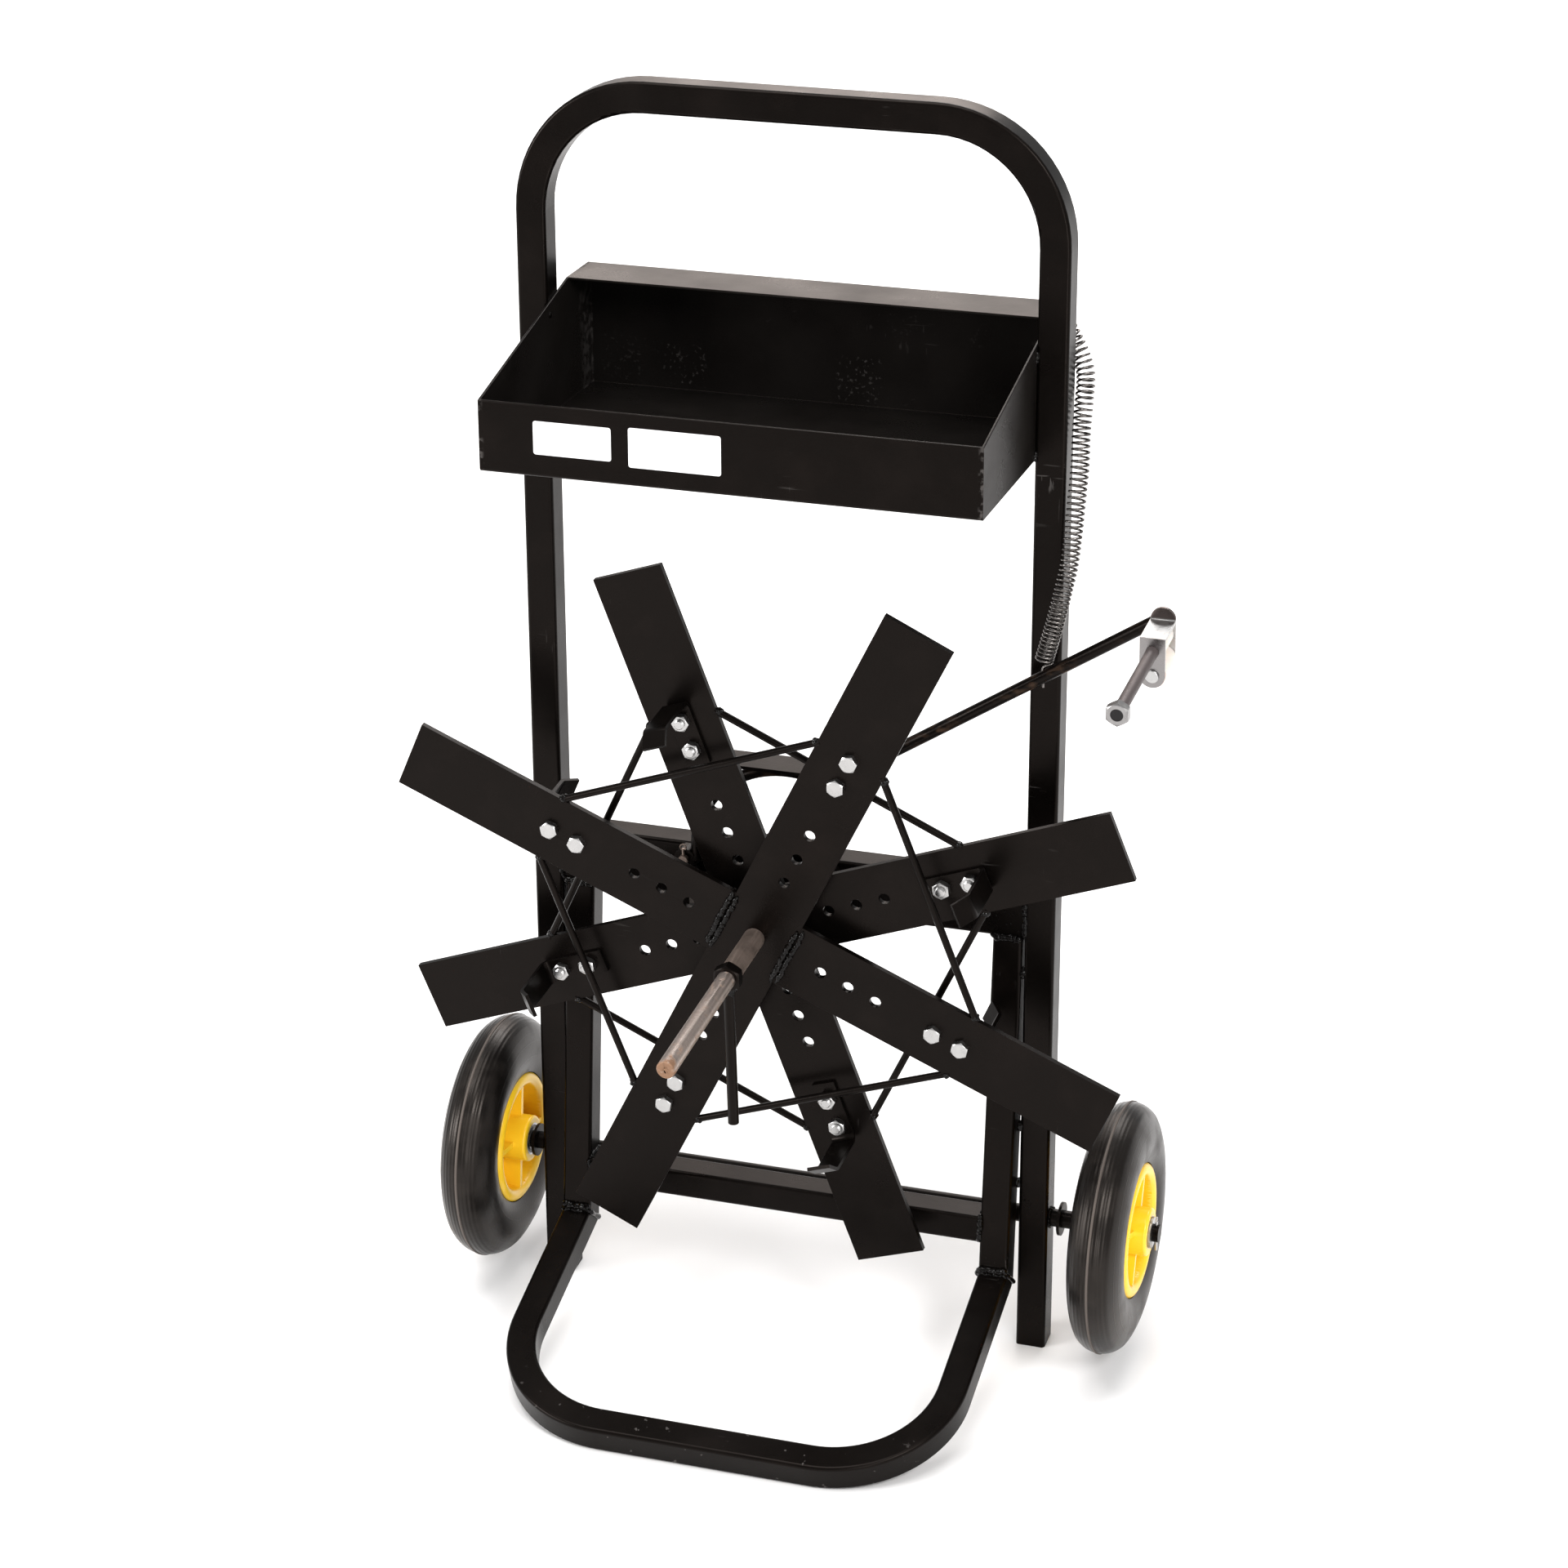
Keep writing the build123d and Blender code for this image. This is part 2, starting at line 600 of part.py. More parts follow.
def core_clip():
    """A bent strip: base along X, leg along Z that the coil's core sits on, and a lip turned inwards."""
    middle = CLIP_THICK / 2
    leg_x = CORE_RADIUS - middle
    lip_turn = math.radians(CLIP_LIP_ANGLE)
    leg_end = middle + CLIP_LEG
    points = [
        (CLIP_INNER_END, 0, middle),
        (leg_x, 0, middle),
        (leg_x, 0, leg_end),
        (leg_x - CLIP_LIP * math.sin(lip_turn), 0, leg_end + CLIP_LIP * math.cos(lip_turn)),
    ]
    path = FilletPolyline(*points, radius=CLIP_BEND)
    start = Plane(origin=points[0], x_dir=(0, 1, 0), z_dir=(1, 0, 0))
    strip = sweep(start * Rectangle(CLIP_WIDTH, CLIP_THICK), path=path)
    for place in CLIP_BOLTS:
        strip -= rod((place, 0, -CLIP_THICK), (place, 0, 2 * CLIP_THICK), BOLT_RADIUS + BOLT_PLAY)
    return strip


def clip_bolt(place):
    """A hexagon bolt whose head lies on the far side of the bar."""
    head = hexagon((place, 0, -BAR_THICK - BOLT_HEAD), (place, 0, -BAR_THICK), BOLT_HEX)
    return head + rod((place, 0, -BAR_THICK), (place, 0, CLIP_THICK + BOLT_NUT + BOLT_TAIL), BOLT_RADIUS)


def clip_nut(place):
    """The nut that holds a clip's base down."""
    nut = hexagon((place, 0, CLIP_THICK), (place, 0, CLIP_THICK + BOLT_NUT), BOLT_HEX)
    return nut - rod((place, 0, 0), (place, 0, 2 * (CLIP_THICK + BOLT_NUT)), BOLT_RADIUS)


def on_arms(piece, face_y, angles, forward):
    """Copies of a piece drawn along X, one on each arm of a cross."""
    return [arm_plane(face_y, turn, forward).location * piece for turn in angles]


def save_cross(name, back_y, angle, skew, bore, clip_face, forward):
    """All the pieces of one cross: bars, brace rods, clips, bolts and nuts."""
    angles = cross_angles(angle, skew)
    long_bar, halves = cross_bars(back_y, angle, skew, bore)
    bolts = [bolt for place in CLIP_BOLTS for bolt in on_arms(clip_bolt(place), clip_face, angles, forward)]
    nuts = [nut for place in CLIP_BOLTS for nut in on_arms(clip_nut(place), clip_face, angles, forward)]
    save(name + "_long_bar", [long_bar])
    save(name + "_half_bars", halves)
    save(name + "_brace_rods", brace_rods(back_y, angle, skew))
    save(name + "_core_clips", on_arms(core_clip(), clip_face, angles, forward))
    save(name + "_clip_bolts", bolts)
    save(name + "_clip_nuts", nuts)


def spindle():
    """The round bar that the reel is built on, with a centre mark in its front end."""
    bar = rod(on_spindle(spindle_tip), on_spindle(collar_back + SPINDLE_TAIL), SPINDLE_RADIUS)
    mark = Pos(*on_spindle(spindle_tip)) * (Rot(90, 0, 0) * Cone(SPINDLE_RADIUS / 3, 0.2, SPINDLE_RADIUS / 2))
    front_edge = bar.edges().filter_by(GeomType.CIRCLE).sort_by(Axis.Y)[0]
    return chamfer(front_edge, SPINDLE_RADIUS / 8) - mark


def brake_drum():
    """The drum on the hub tube that the brake lining presses on."""
    back = hub_back
    front = back - DRUM_WIDTH
    shell = ring(on_spindle(front), on_spindle(back), DRUM_RADIUS, DRUM_RADIUS - DRUM_WALL)
    web = ring(on_spindle(back - DRUM_WEB), on_spindle(back), DRUM_RADIUS - DRUM_WALL / 2, HUB_TUBE_RADIUS)
    return shell + web


def spindle_bushes():
    """A flanged bush in each end of the housing."""
    bushes = []
    for mouth, outward in ((bar_front, -1), (housing_back, 1)):
        body = rod(on_spindle(mouth - outward * BUSH_LENGTH), on_spindle(mouth), BUSH_RADIUS)
        flange = rod(on_spindle(mouth), on_spindle(mouth + outward * BUSH_FLANGE), BUSH_FLANGE_RADIUS)
        inner_end = on_spindle(mouth - 2 * outward * BUSH_LENGTH)
        outer_end = on_spindle(mouth + 2 * outward * BUSH_LENGTH)
        bushes.append(body + flange - rod(inner_end, outer_end, SPINDLE_RADIUS + RUNNING))
    return bushes


def retaining_collar():
    """The collar behind the housing, with a set screw in its side."""
    collar = ring(on_spindle(collar_front), on_spindle(collar_back), COLLAR_RADIUS, SPINDLE_RADIUS)
    middle = (collar_front + collar_back) / 2
    return collar - rod((0, middle, spindle_z), (0, middle, spindle_z + TUBE), SET_SCREW_RADIUS)


def set_screw():
    """The screw that holds the collar on the spindle, flush with the collar."""
    middle = (collar_front + collar_back) / 2
    top = spindle_z + COLLAR_RADIUS - SLIDING
    screw = rod((0, middle, spindle_z), (0, middle, top), SET_SCREW_RADIUS)
    screw -= rod(on_spindle(collar_front), on_spindle(collar_back), SPINDLE_RADIUS)
    socket = SET_SCREW_RADIUS
    return screw - hexagon((0, middle, top - socket), (0, middle, top), socket)


def spindle_nut():
    """The nut on the spindle that clamps the front cross through its sleeve."""
    start = on_spindle(sleeve_front)
    end = on_spindle(sleeve_front - SPINDLE_NUT_THICK)
    return hexagon(start, end, SPINDLE_NUT_HEX) - rod(start, end, SPINDLE_RADIUS + 2 * RUNNING)


def nut_handle_rod():
    """The rod welded under the nut as a handle."""
    middle = sleeve_front - SPINDLE_NUT_THICK / 2
    bottom = spindle_z - SPINDLE_NUT_HEX / 2 - HANDLE_LENGTH
    nut_front = on_spindle(sleeve_front - SPINDLE_NUT_THICK)
    nut_space = hexagon(on_spindle(sleeve_front), nut_front, SPINDLE_NUT_HEX)
    return rod(on_spindle(middle), (0, middle, bottom), HANDLE_RADIUS) - nut_space


# Swing arm

def on_pivot(y):
    """A point on the pivot pin's centre line."""
    return (PIVOT_X, y, pivot_z)


def pivot_pin():
    """The pin through the upper cross bar that the lever turns on, headed behind the bar."""
    tip = bar_front - PIVOT_REACH
    pin = rod(on_pivot(tip), on_pivot(bar_back), PIVOT_RADIUS)
    head = rod(on_pivot(bar_back), on_pivot(bar_back + PIVOT_HEAD), PIVOT_HEAD_RADIUS)
    y = pivot_split_pin_y()
    hole = rod((PIVOT_X, y, pivot_z - TUBE), (PIVOT_X, y, pivot_z + TUBE), PIVOT_PIN_RADIUS)
    return pin + head - hole


def pivot_split_pin_y():
    """The place of the split pin that keeps the lever on its pivot."""
    return boss_front - PIVOT_PIN_RADIUS - SLIDING


def pivot_split_pin():
    """The small split pin in front of the lever's boss."""
    y = pivot_split_pin_y()
    half = PIVOT_PIN_SPREAD / 2
    shank = rod((PIVOT_X, y, pivot_z - half), (PIVOT_X, y, pivot_z + half), PIVOT_PIN_RADIUS)
    ring_head = Rot(90, 0, 0) * Torus(2 * PIVOT_PIN_RADIUS, PIVOT_PIN_RADIUS / 2)
    return shank + Pos(PIVOT_X, y, pivot_z + half + PIVOT_PIN_RADIUS) * ring_head


def lever_boss():
    """The short tube that turns on the pivot pin."""
    return ring(on_pivot(boss_front), on_pivot(boss_back), BOSS_RADIUS, PIVOT_RADIUS + RUNNING)


def arm_point(x):
    """A point on the arm's centre line."""
    return (x, arm_y, arm_root_z + (x - arm_root_x) * arm_slope)


def lever_bar():
    """The round bar bowed over the hub, with the long arm welded to its end and drilled for the spring."""
    view = Plane(origin=(BOW_X, arm_y, bow_z), x_dir=(1, 0, 0), z_dir=(0, -1, 0))
    path = view * CenterArc((0, 0), BOW_RADIUS, BOW_START, BOW_END - BOW_START)
    bow = sweep(Plane(origin=path @ 0, z_dir=path % 0) * Circle(ARM_RADIUS), path=path)
    elbow = Pos(*arm_point(arm_root_x)) * Sphere(ARM_RADIUS)
    arm = rod(arm_point(arm_root_x), arm_point(bracket_x), ARM_RADIUS)
    end = Pos(*arm_point(bracket_x)) * Sphere(ARM_RADIUS)
    bar = bow + elbow + arm + end
    bar -= rod(on_pivot(boss_front - TUBE), on_pivot(boss_back + TUBE), BOSS_RADIUS)
    land = Pos(bracket_x, bracket_back - TUBE / 2, bracket_z) * Box(2 * BRACKET_WIDTH, TUBE, 4 * BRACKET_DROP)
    x, y, z = spring_seat()
    wire_hole = rod((x, y, z - 4 * ARM_RADIUS), (x, y, z + 4 * ARM_RADIUS), WIRE / 2 + WIRE_PLAY)
    return bar - land - wire_hole


def lever_strip():
    """The flat strip welded along the top of the bow."""
    top = bow_z + BOW_RADIUS + ARM_RADIUS
    left = BOW_X - STRIP_LENGTH * 3 / 4
    bar = Pos(left + STRIP_LENGTH / 2, arm_y, top) * Box(STRIP_LENGTH, STRIP_WIDTH, STRIP_THICK)
    bow_cut = revolve(Pos(BOW_RADIUS, 0) * Circle(ARM_RADIUS), Axis.Y)
    arm_cut = rod(arm_point(arm_root_x), arm_point(bracket_x), ARM_RADIUS)
    return bar - Pos(BOW_X, arm_y, bow_z) * bow_cut - arm_cut


def brake_shoe():
    """The plate that hangs from the lever's boss and carries the lining."""
    width = boss_back - boss_front
    top = pivot_z
    bottom = pivot_z - SHOE_DROP - SHOE_HEIGHT / 2
    plate = Pos(PIVOT_X, boss_front + width / 2, (top + bottom) / 2) * Box(SHOE_PLATE, width, top - bottom)
    return plate - rod(on_pivot(boss_front), on_pivot(boss_back), BOSS_RADIUS)


def brake_lining():
    """The friction block on the shoe, hollowed to the drum and just clear of it."""
    width = boss_back - boss_front
    left = PIVOT_X + SHOE_PLATE / 2
    right = -DRUM_RADIUS + LINING_THICK
    middle_z = pivot_z - SHOE_DROP
    block = Pos((left + right) / 2, boss_front + width / 2, middle_z) * Box(right - left, width, SHOE_HEIGHT)
    block -= rod(on_spindle(boss_front), on_spindle(boss_back), DRUM_RADIUS + SLIDING)
    return block - rod(on_pivot(boss_front), on_pivot(boss_back), BOSS_RADIUS + SLIDING)


def bracket_plate(back_y, top_z, top_radius):
    """One upright plate of the roller bracket, round at its foot and, where asked, at its head."""
    half = BRACKET_WIDTH / 2
    foot_z = bracket_z - BRACKET_DROP + half
    view = Plane(origin=(bracket_x, back_y, 0), x_dir=(1, 0, 0), z_dir=(0, -1, 0))
    outline = Pos(0, (foot_z + top_z) / 2) * Rectangle(BRACKET_WIDTH, top_z - foot_z)
    outline += Pos(0, foot_z) * Circle(half)
    if top_radius:
        outline += Pos(0, top_z) * Circle(top_radius)
    return extrude(view * outline, BRACKET_SHEET)


def roller_bracket():
    """The bent plate at the arm's end: two upright plates and a top plate, drilled for the two pins."""
    front = bracket_plate(bracket_front + BRACKET_SHEET, bracket_z, 0)
    rear = bracket_plate(bracket_back, bracket_z, BRACKET_EAR)
    top = Pos(bracket_x, (bracket_front + bracket_back) / 2, bracket_z - BRACKET_SHEET / 2) * Box(
        BRACKET_WIDTH, BRACKET_DEPTH, BRACKET_SHEET)
    body = front + rear + top
    for height, radius in ((guide_z, GUIDE_RADIUS), (lower_pin_z, LOWER_PIN_RADIUS)):
        start = (bracket_x, bracket_front - TUBE, height)
        body -= rod(start, (bracket_x, bracket_back + TUBE, height), radius)
    return body


def guide_pin():
    """The long round pin that the strap runs over, held in both plates of the bracket."""
    tip = (bracket_x, bracket_front - GUIDE_REACH, guide_z)
    return rod(tip, (bracket_x, bracket_back, guide_z), GUIDE_RADIUS)


def guide_pin_nut():
    """The nut on the guide pin's front end."""
    start = (bracket_x, bracket_front - GUIDE_REACH - SLIDING, guide_z)
    end = (bracket_x, bracket_front - GUIDE_REACH + GUIDE_NUT, guide_z)
    return hexagon(start, end, GUIDE_HEX) - rod(start, end, GUIDE_RADIUS)


def lower_roller_pin():
    """The headed pin of the lower roller."""
    seat = (bracket_x, bracket_front, lower_pin_z)
    pin = rod(seat, (bracket_x, bracket_back, lower_pin_z), LOWER_PIN_RADIUS)
    start = (bracket_x, bracket_front - LOWER_PIN_HEAD, lower_pin_z)
    return pin + rod(start, seat, LOWER_PIN_HEAD_RADIUS)


def roller(height, radius, bore):
    """A nylon roller between the bracket's plates."""
    front = (bracket_x, bracket_front + BRACKET_SHEET + SLIDING, height)
    back = (bracket_x, bracket_back - BRACKET_SHEET - SLIDING, height)
    return ring(front, back, radius, bore + RUNNING)


# Tension spring

def spring_seat():
    """The place on the arm where the spring's lower end goes through it."""
    x = half_width + SPRING_ROUTE[0][0]
    return arm_point(x)


def spring_route():
    """The points of the spring's centre line, from the arm up to the stud behind the leg."""
    bottom = spring_seat()[2] + SPRING_SEAT
    points = []
    for out, back, share in SPRING_ROUTE:
        height = bottom + share * SPRING_RISE
        points.append(Vector(half_width + out, height * tan_lean + back, height))
    points[0] = Vector(points[0].X, arm_y, points[0].Z)
    return points


def stud_place():
    """The middle of the stud at the depth where the spring's hook hangs on it, upright legs."""
    top = spring_route()[-1]
    return (top.X, TUBE + STUD_SEAT, top.Z / cos_lean + STUD_RISE)


def spring_stud():
    """The stud welded to the back of the right leg, with a lip that keeps the hook on."""
    x, _, height = stud_place()
    lip = STUD_RADIUS / 2
    shank = rod((x, TUBE, height), (x, TUBE + STUD_LENGTH, height), STUD_RADIUS)
    head = rod((x, TUBE + STUD_LENGTH - lip, height), (x, TUBE + STUD_LENGTH, height), STUD_RADIUS + lip)
    return leaned(shank + head)


def centre_samples(count):
    """Points evenly spread along the spring's centre line, with the run along it at each."""
    curve = Spline(*spring_route())
    points = [curve @ (number / count) for number in range(count + 1)]
    runs = [curve % (number / count) for number in range(count + 1)]
    lengths = [0.0]
    for before, after in zip(points, points[1:]):
        lengths.append(lengths[-1] + (after - before).length)
    return points, runs, lengths


def coil_phase(lengths):
    """Turns made by each sample: close coils at the bottom, open coils above, and whole turns in all."""
    total = lengths[-1]
    turns = [0.0]
    for before, after in zip(lengths, lengths[1:]):
        share = (before + after) / 2 / total
        blend = min(max((share - CLOSE_SHARE) / CLOSE_SHARE + 0.5, 0.0), 1.0)
        pitch = CLOSE_PITCH + (OPEN_PITCH - CLOSE_PITCH) * blend
        turns.append(turns[-1] + (after - before) / pitch)
    whole = round(turns[-1]) / turns[-1]
    return [value * whole for value in turns]


def coil_points(steps_per_turn):
    """Points on the coil, the given number in each turn, as a function of the turn."""
    points, runs, lengths = centre_samples(CENTRE_SAMPLES)
    turns = coil_phase(lengths)
    count = round(turns[-1] * steps_per_turn)
    found = []
    index = 0
    for step in range(count + 1):
        wanted = step / steps_per_turn
        while index < len(turns) - 2 and turns[index + 1] < wanted:
            index += 1
        share = (wanted - turns[index]) / (turns[index + 1] - turns[index])
        middle = points[index] + (points[index + 1] - points[index]) * share
        run = runs[index]
        across = (Vector(1, 0, 0) - run * run.X).normalized()
        away = run.cross(across)
        angle = 2 * math.pi * wanted + math.pi
        spoke = across * math.cos(angle) + away * math.sin(angle)
        found.append(middle + spoke * COIL_RADIUS)
    return found


def biarc(start, start_run, end, end_run):
    """Two arcs that leave one point and reach another along given directions."""
    gap = end - start
    both = start_run + end_run
    square = 2 * (1 - start_run.dot(end_run))
    line = 2 * gap.dot(both)
    reach = gap.dot(gap)
    if square < 1e-9:
        handle = reach / line
    else:
        handle = (-line + math.sqrt(line * line + 4 * square * reach)) / (2 * square)
    first = start + start_run * handle
    second = end - end_run * handle
    middle = (first + second) * 0.5
    middle_run = (second - first).normalized()
    return [Edge.make_tangent_arc(start, start_run, middle), Edge.make_tangent_arc(middle, middle_run, end)]


def spring_stations():
    """Places and directions along the wire: a straight foot, half turns of coil, and a hook over the stud."""
    coil = coil_points(STEPS_PER_TURN)
    half = STEPS_PER_TURN // 2
    stations = []
    for index in range(half, len(coil) - half, half):
        run = (coil[index + 1] - coil[index - 1]).normalized()
        stations.append((coil[index], run))
    x, y, z = spring_seat()
    foot = [(Vector(x, y, z + ARM_RADIUS + 2 * WIRE), Vector(0, 0, 1))]
    stud_x, stud_y, stud_z = stud_place()
    loop = STUD_RADIUS + WIRE / 2 + SLIDING
    up = leaned_point(0, 0, 1)
    hook = [
        (leaned_point(stud_x + loop, stud_y, stud_z), up),
        (leaned_point(stud_x, stud_y, stud_z + loop), Vector(-1, 0, 0)),
        (leaned_point(stud_x - loop, stud_y, stud_z), up * -1),
    ]
    return foot + stations + hook


def tension_spring():
    """The spring as one wire: a straight foot through the arm, the coils, and a hook over the stud."""
    stations = spring_stations()
    first, first_run = stations[0]
    last, last_run = stations[-1]
    foot_end = spring_seat()[2] - ARM_RADIUS - SPRING_TAIL
    start = Vector(first.X, first.Y, foot_end)
    edges = [Edge.make_line(start, first)]
    for (place, run), (following, following_run) in zip(stations, stations[1:]):
        edges += biarc(place, run, following, following_run)
    edges.append(Edge.make_line(last, last + last_run * (2 * WIRE)))
    print("spring: least gap between turns", round(least_gap(edges), 2), "mm, turns", len(stations) / 2)
    path = Wire(edges)
    return sweep(Plane(origin=start, z_dir=first_run) * Circle(WIRE / 2), path=path)


def least_gap(edges):
    """The least clear distance between stretches of the wire that are not neighbours along it."""
    per_edge = 12
    points = [edge @ (step / per_edge) for edge in edges for step in range(per_edge)]
    travelled = [0.0]
    for before, after in zip(points, points[1:]):
        travelled.append(travelled[-1] + (after - before).length)
    apart = 4 * WIRE
    window = 2.5 * 2 * math.pi * COIL_RADIUS
    least = math.inf
    for index, point in enumerate(points):
        other = index + 1
        while other < len(points) and travelled[other] - travelled[index] < window:
            if travelled[other] - travelled[index] > apart:
                least = min(least, (points[other] - point).length)
            other += 1
    return least - WIRE


# Frame nodes
save("main_frame_tube", [main_frame_tube()])
save("tool_tray", [tool_tray()])
save("left_post", [post(-1)])
save("right_post", [post(1)])
save("foot_loop", [foot_loop()])
save("upper_cross_bar", [upper_cross_bar()])
save("lower_cross_bar", [lower_cross_bar()])
save("wheel_axle", [wheel_axle()])
save("axle_stop_washers", axle_washers(half_width + STOP_STAND_OFF, STOP_THICK, STOP_RADIUS))
save("axle_end_washers", axle_washers(end_washer_face, WASHER_THICK, WASHER_RADIUS))
save("axle_split_pins", split_pins())
save("spindle_housing", [ring(on_spindle(bar_front), on_spindle(housing_back), HOUSING_RADIUS, BUSH_RADIUS)])
save("spindle_bushes", spindle_bushes())
save("lever_pivot_pin", [pivot_pin()])
save("lever_pivot_split_pin", [pivot_split_pin()])
save("spring_stud", [spring_stud()])
save("tension_spring", [tension_spring()])

# Wheel nodes: the left wheel stands off its stop washer, clear of the reel, and the right one lies at its end
wheel_places = {
    "left": -(stop_face + WHEEL_OFF_STOP + HUB_LENGTH / 2),
    "right": end_washer_face - SLIDING - HUB_LENGTH / 2,
}
for wheel_name, wheel_x in wheel_places.items():
    save(wheel_name + "_tyre", [tyre(wheel_x)])
    save(wheel_name + "_rim", [rim(wheel_x, RIB_TURNS[wheel_name])])
    save(wheel_name + "_wheel_bearings", wheel_bearings(wheel_x))

# Reel nodes
save("spindle", [spindle()])
save("hub_tube", [ring(on_spindle(rear_back), on_spindle(hub_back), HUB_TUBE_RADIUS, SPINDLE_RADIUS)])
save("brake_drum", [brake_drum()])
save("retaining_collar", [retaining_collar()])
save("collar_set_screw", [set_screw()])
save_cross("rear", rear_back, REAR_ANGLE, REAR_SKEW, SPINDLE_RADIUS, rear_front, 1)
save_cross("front", front_back, FRONT_ANGLE, FRONT_SKEW, SPINDLE_RADIUS + SLIDING, front_back, -1)
sleeve_ends = (on_spindle(sleeve_front), on_spindle(front_front))
save("spacer_sleeve", [ring(*sleeve_ends, SLEEVE_RADIUS, SPINDLE_RADIUS + SLIDING)])
save("spindle_nut", [spindle_nut()])
save("nut_handle_rod", [nut_handle_rod()])

# Swing arm nodes
save("lever_boss", [lever_boss()])
save("lever_bar", [lever_bar()])
save("lever_strip", [lever_strip()])
save("brake_shoe", [brake_shoe()])
save("brake_lining", [brake_lining()])
save("roller_bracket", [roller_bracket()])
save("guide_pin", [guide_pin()])
save("guide_pin_nut", [guide_pin_nut()])
save("lower_roller_pin", [lower_roller_pin()])
save("upper_roller", [roller(guide_z, UPPER_ROLLER_RADIUS, GUIDE_RADIUS)])
save("lower_roller", [roller(lower_pin_z, LOWER_ROLLER_RADIUS, LOWER_PIN_RADIUS)])

print("origin", round(origin_y, 2), "mm behind the legs' foot line, half width", round(axle_tip, 2))
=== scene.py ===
"""The looks of the strapping dispenser cart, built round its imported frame."""
import json
import math
import random

import bmesh
import bpy
from mathutils import Matrix, Vector, noise


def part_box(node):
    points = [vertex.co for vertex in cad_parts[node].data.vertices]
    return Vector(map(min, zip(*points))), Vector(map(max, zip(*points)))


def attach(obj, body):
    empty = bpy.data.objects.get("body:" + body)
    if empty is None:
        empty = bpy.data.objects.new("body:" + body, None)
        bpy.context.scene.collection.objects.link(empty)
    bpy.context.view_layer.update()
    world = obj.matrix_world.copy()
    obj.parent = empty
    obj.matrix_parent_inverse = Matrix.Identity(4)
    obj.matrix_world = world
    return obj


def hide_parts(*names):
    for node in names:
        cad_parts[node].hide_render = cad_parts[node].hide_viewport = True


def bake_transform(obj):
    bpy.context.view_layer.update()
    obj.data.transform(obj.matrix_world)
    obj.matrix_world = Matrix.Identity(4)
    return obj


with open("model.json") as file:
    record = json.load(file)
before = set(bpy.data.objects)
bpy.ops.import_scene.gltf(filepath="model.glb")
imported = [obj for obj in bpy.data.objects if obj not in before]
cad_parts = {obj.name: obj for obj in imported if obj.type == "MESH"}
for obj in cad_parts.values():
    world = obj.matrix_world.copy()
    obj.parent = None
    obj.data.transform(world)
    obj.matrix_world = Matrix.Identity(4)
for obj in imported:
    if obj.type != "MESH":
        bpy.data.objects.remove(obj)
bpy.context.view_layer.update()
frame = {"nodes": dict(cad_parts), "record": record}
nodes = frame["nodes"]
record = frame["record"]
body_of = {node: body for body, members in record["behaviour"]["bodies"].items() for node in members}
SEED = 7
random.seed(SEED)
noise.seed_set(SEED)

# The part's own sizes in millimetres, with Y measured from the line where the legs meet the floor
FOOT_LINE = 58.38
LEAN = math.radians(4.3)
POST_LEAN = math.radians(9.65)
FOOT_SLOPE = math.radians(14.0)
FOOT_REACH = 245.5
TUBE = 25.0
LEG_OUTSIDE = 225.0
LEG_INSIDE = 200.0
POST_OUTSIDE = 198.0
POST_INSIDE = 173.0
BAR_FRONT = 400.0 * math.tan(LEAN)
BAR_BOTTOM = 375.0
BAR_TOP = 425.0
LOWER_BAR = 117.5
TRAY_FRONT = -150.0
AXLE_RADIUS = 7.5
SPINDLE_Z = 397.0
SPINDLE_RADIUS = 7.6
REAR_FRONT = BAR_FRONT - 70.0
FRONT_FRONT = REAR_FRONT - 22.0
BAR_WIDTH = 60.0
BAR_THICK = 5.0
REAR_ANGLE = 109.0
REAR_SKEW = 1.5
FRONT_ANGLE = 63.6
FRONT_SKEW = 2.5
BRACE_ALONG = 187.0
CLIP_THICK = 3.0
CLIP_BOLTS = (162.5, 187.5)
BOLT_RADIUS = 4.0
BOLT_HEX = 13.0
BOLT_HEAD = 5.3
BOLT_NUT = 6.5
BOLT_TAIL = 2.5
ARM_Y = BAR_FRONT - 6.5
ARM_RADIUS = 5.0
BOW_END = math.radians(64.5)
ARM_ROOT_X = 3.0 + 80.0 * math.cos(BOW_END)
ARM_ROOT_Z = 426.0 + 80.0 * math.sin(BOW_END)
ARM_SLOPE = math.tan(math.radians(33.25))
BRACKET_X = 313.0
BRACKET_Z = ARM_ROOT_Z + (BRACKET_X - ARM_ROOT_X) * ARM_SLOPE


def at(x, y, z):
    """A point in the row frame, in metres, from millimetres."""
    return Vector((x, y + FOOT_LINE, z)) / 1000


def on_leg(x, back, up):
    """A point given back from the legs' front and up along them."""
    y = back * math.cos(LEAN) + up * math.sin(LEAN)
    z = up * math.cos(LEAN) - back * math.sin(LEAN)
    return at(x, y, z)


def middle_of(name):
    """The middle of a frame piece's box."""
    low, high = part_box(name)
    return (low + high) / 2


tray_verts = nodes["tool_tray"].data.vertices
tray_back = max(vert.co.y * math.cos(LEAN) - vert.co.z * math.sin(LEAN) for vert in tray_verts)
axle = middle_of("wheel_axle")
left_wheel_x = middle_of("left_tyre").x
right_wheel_x = middle_of("right_tyre").x


# Materials

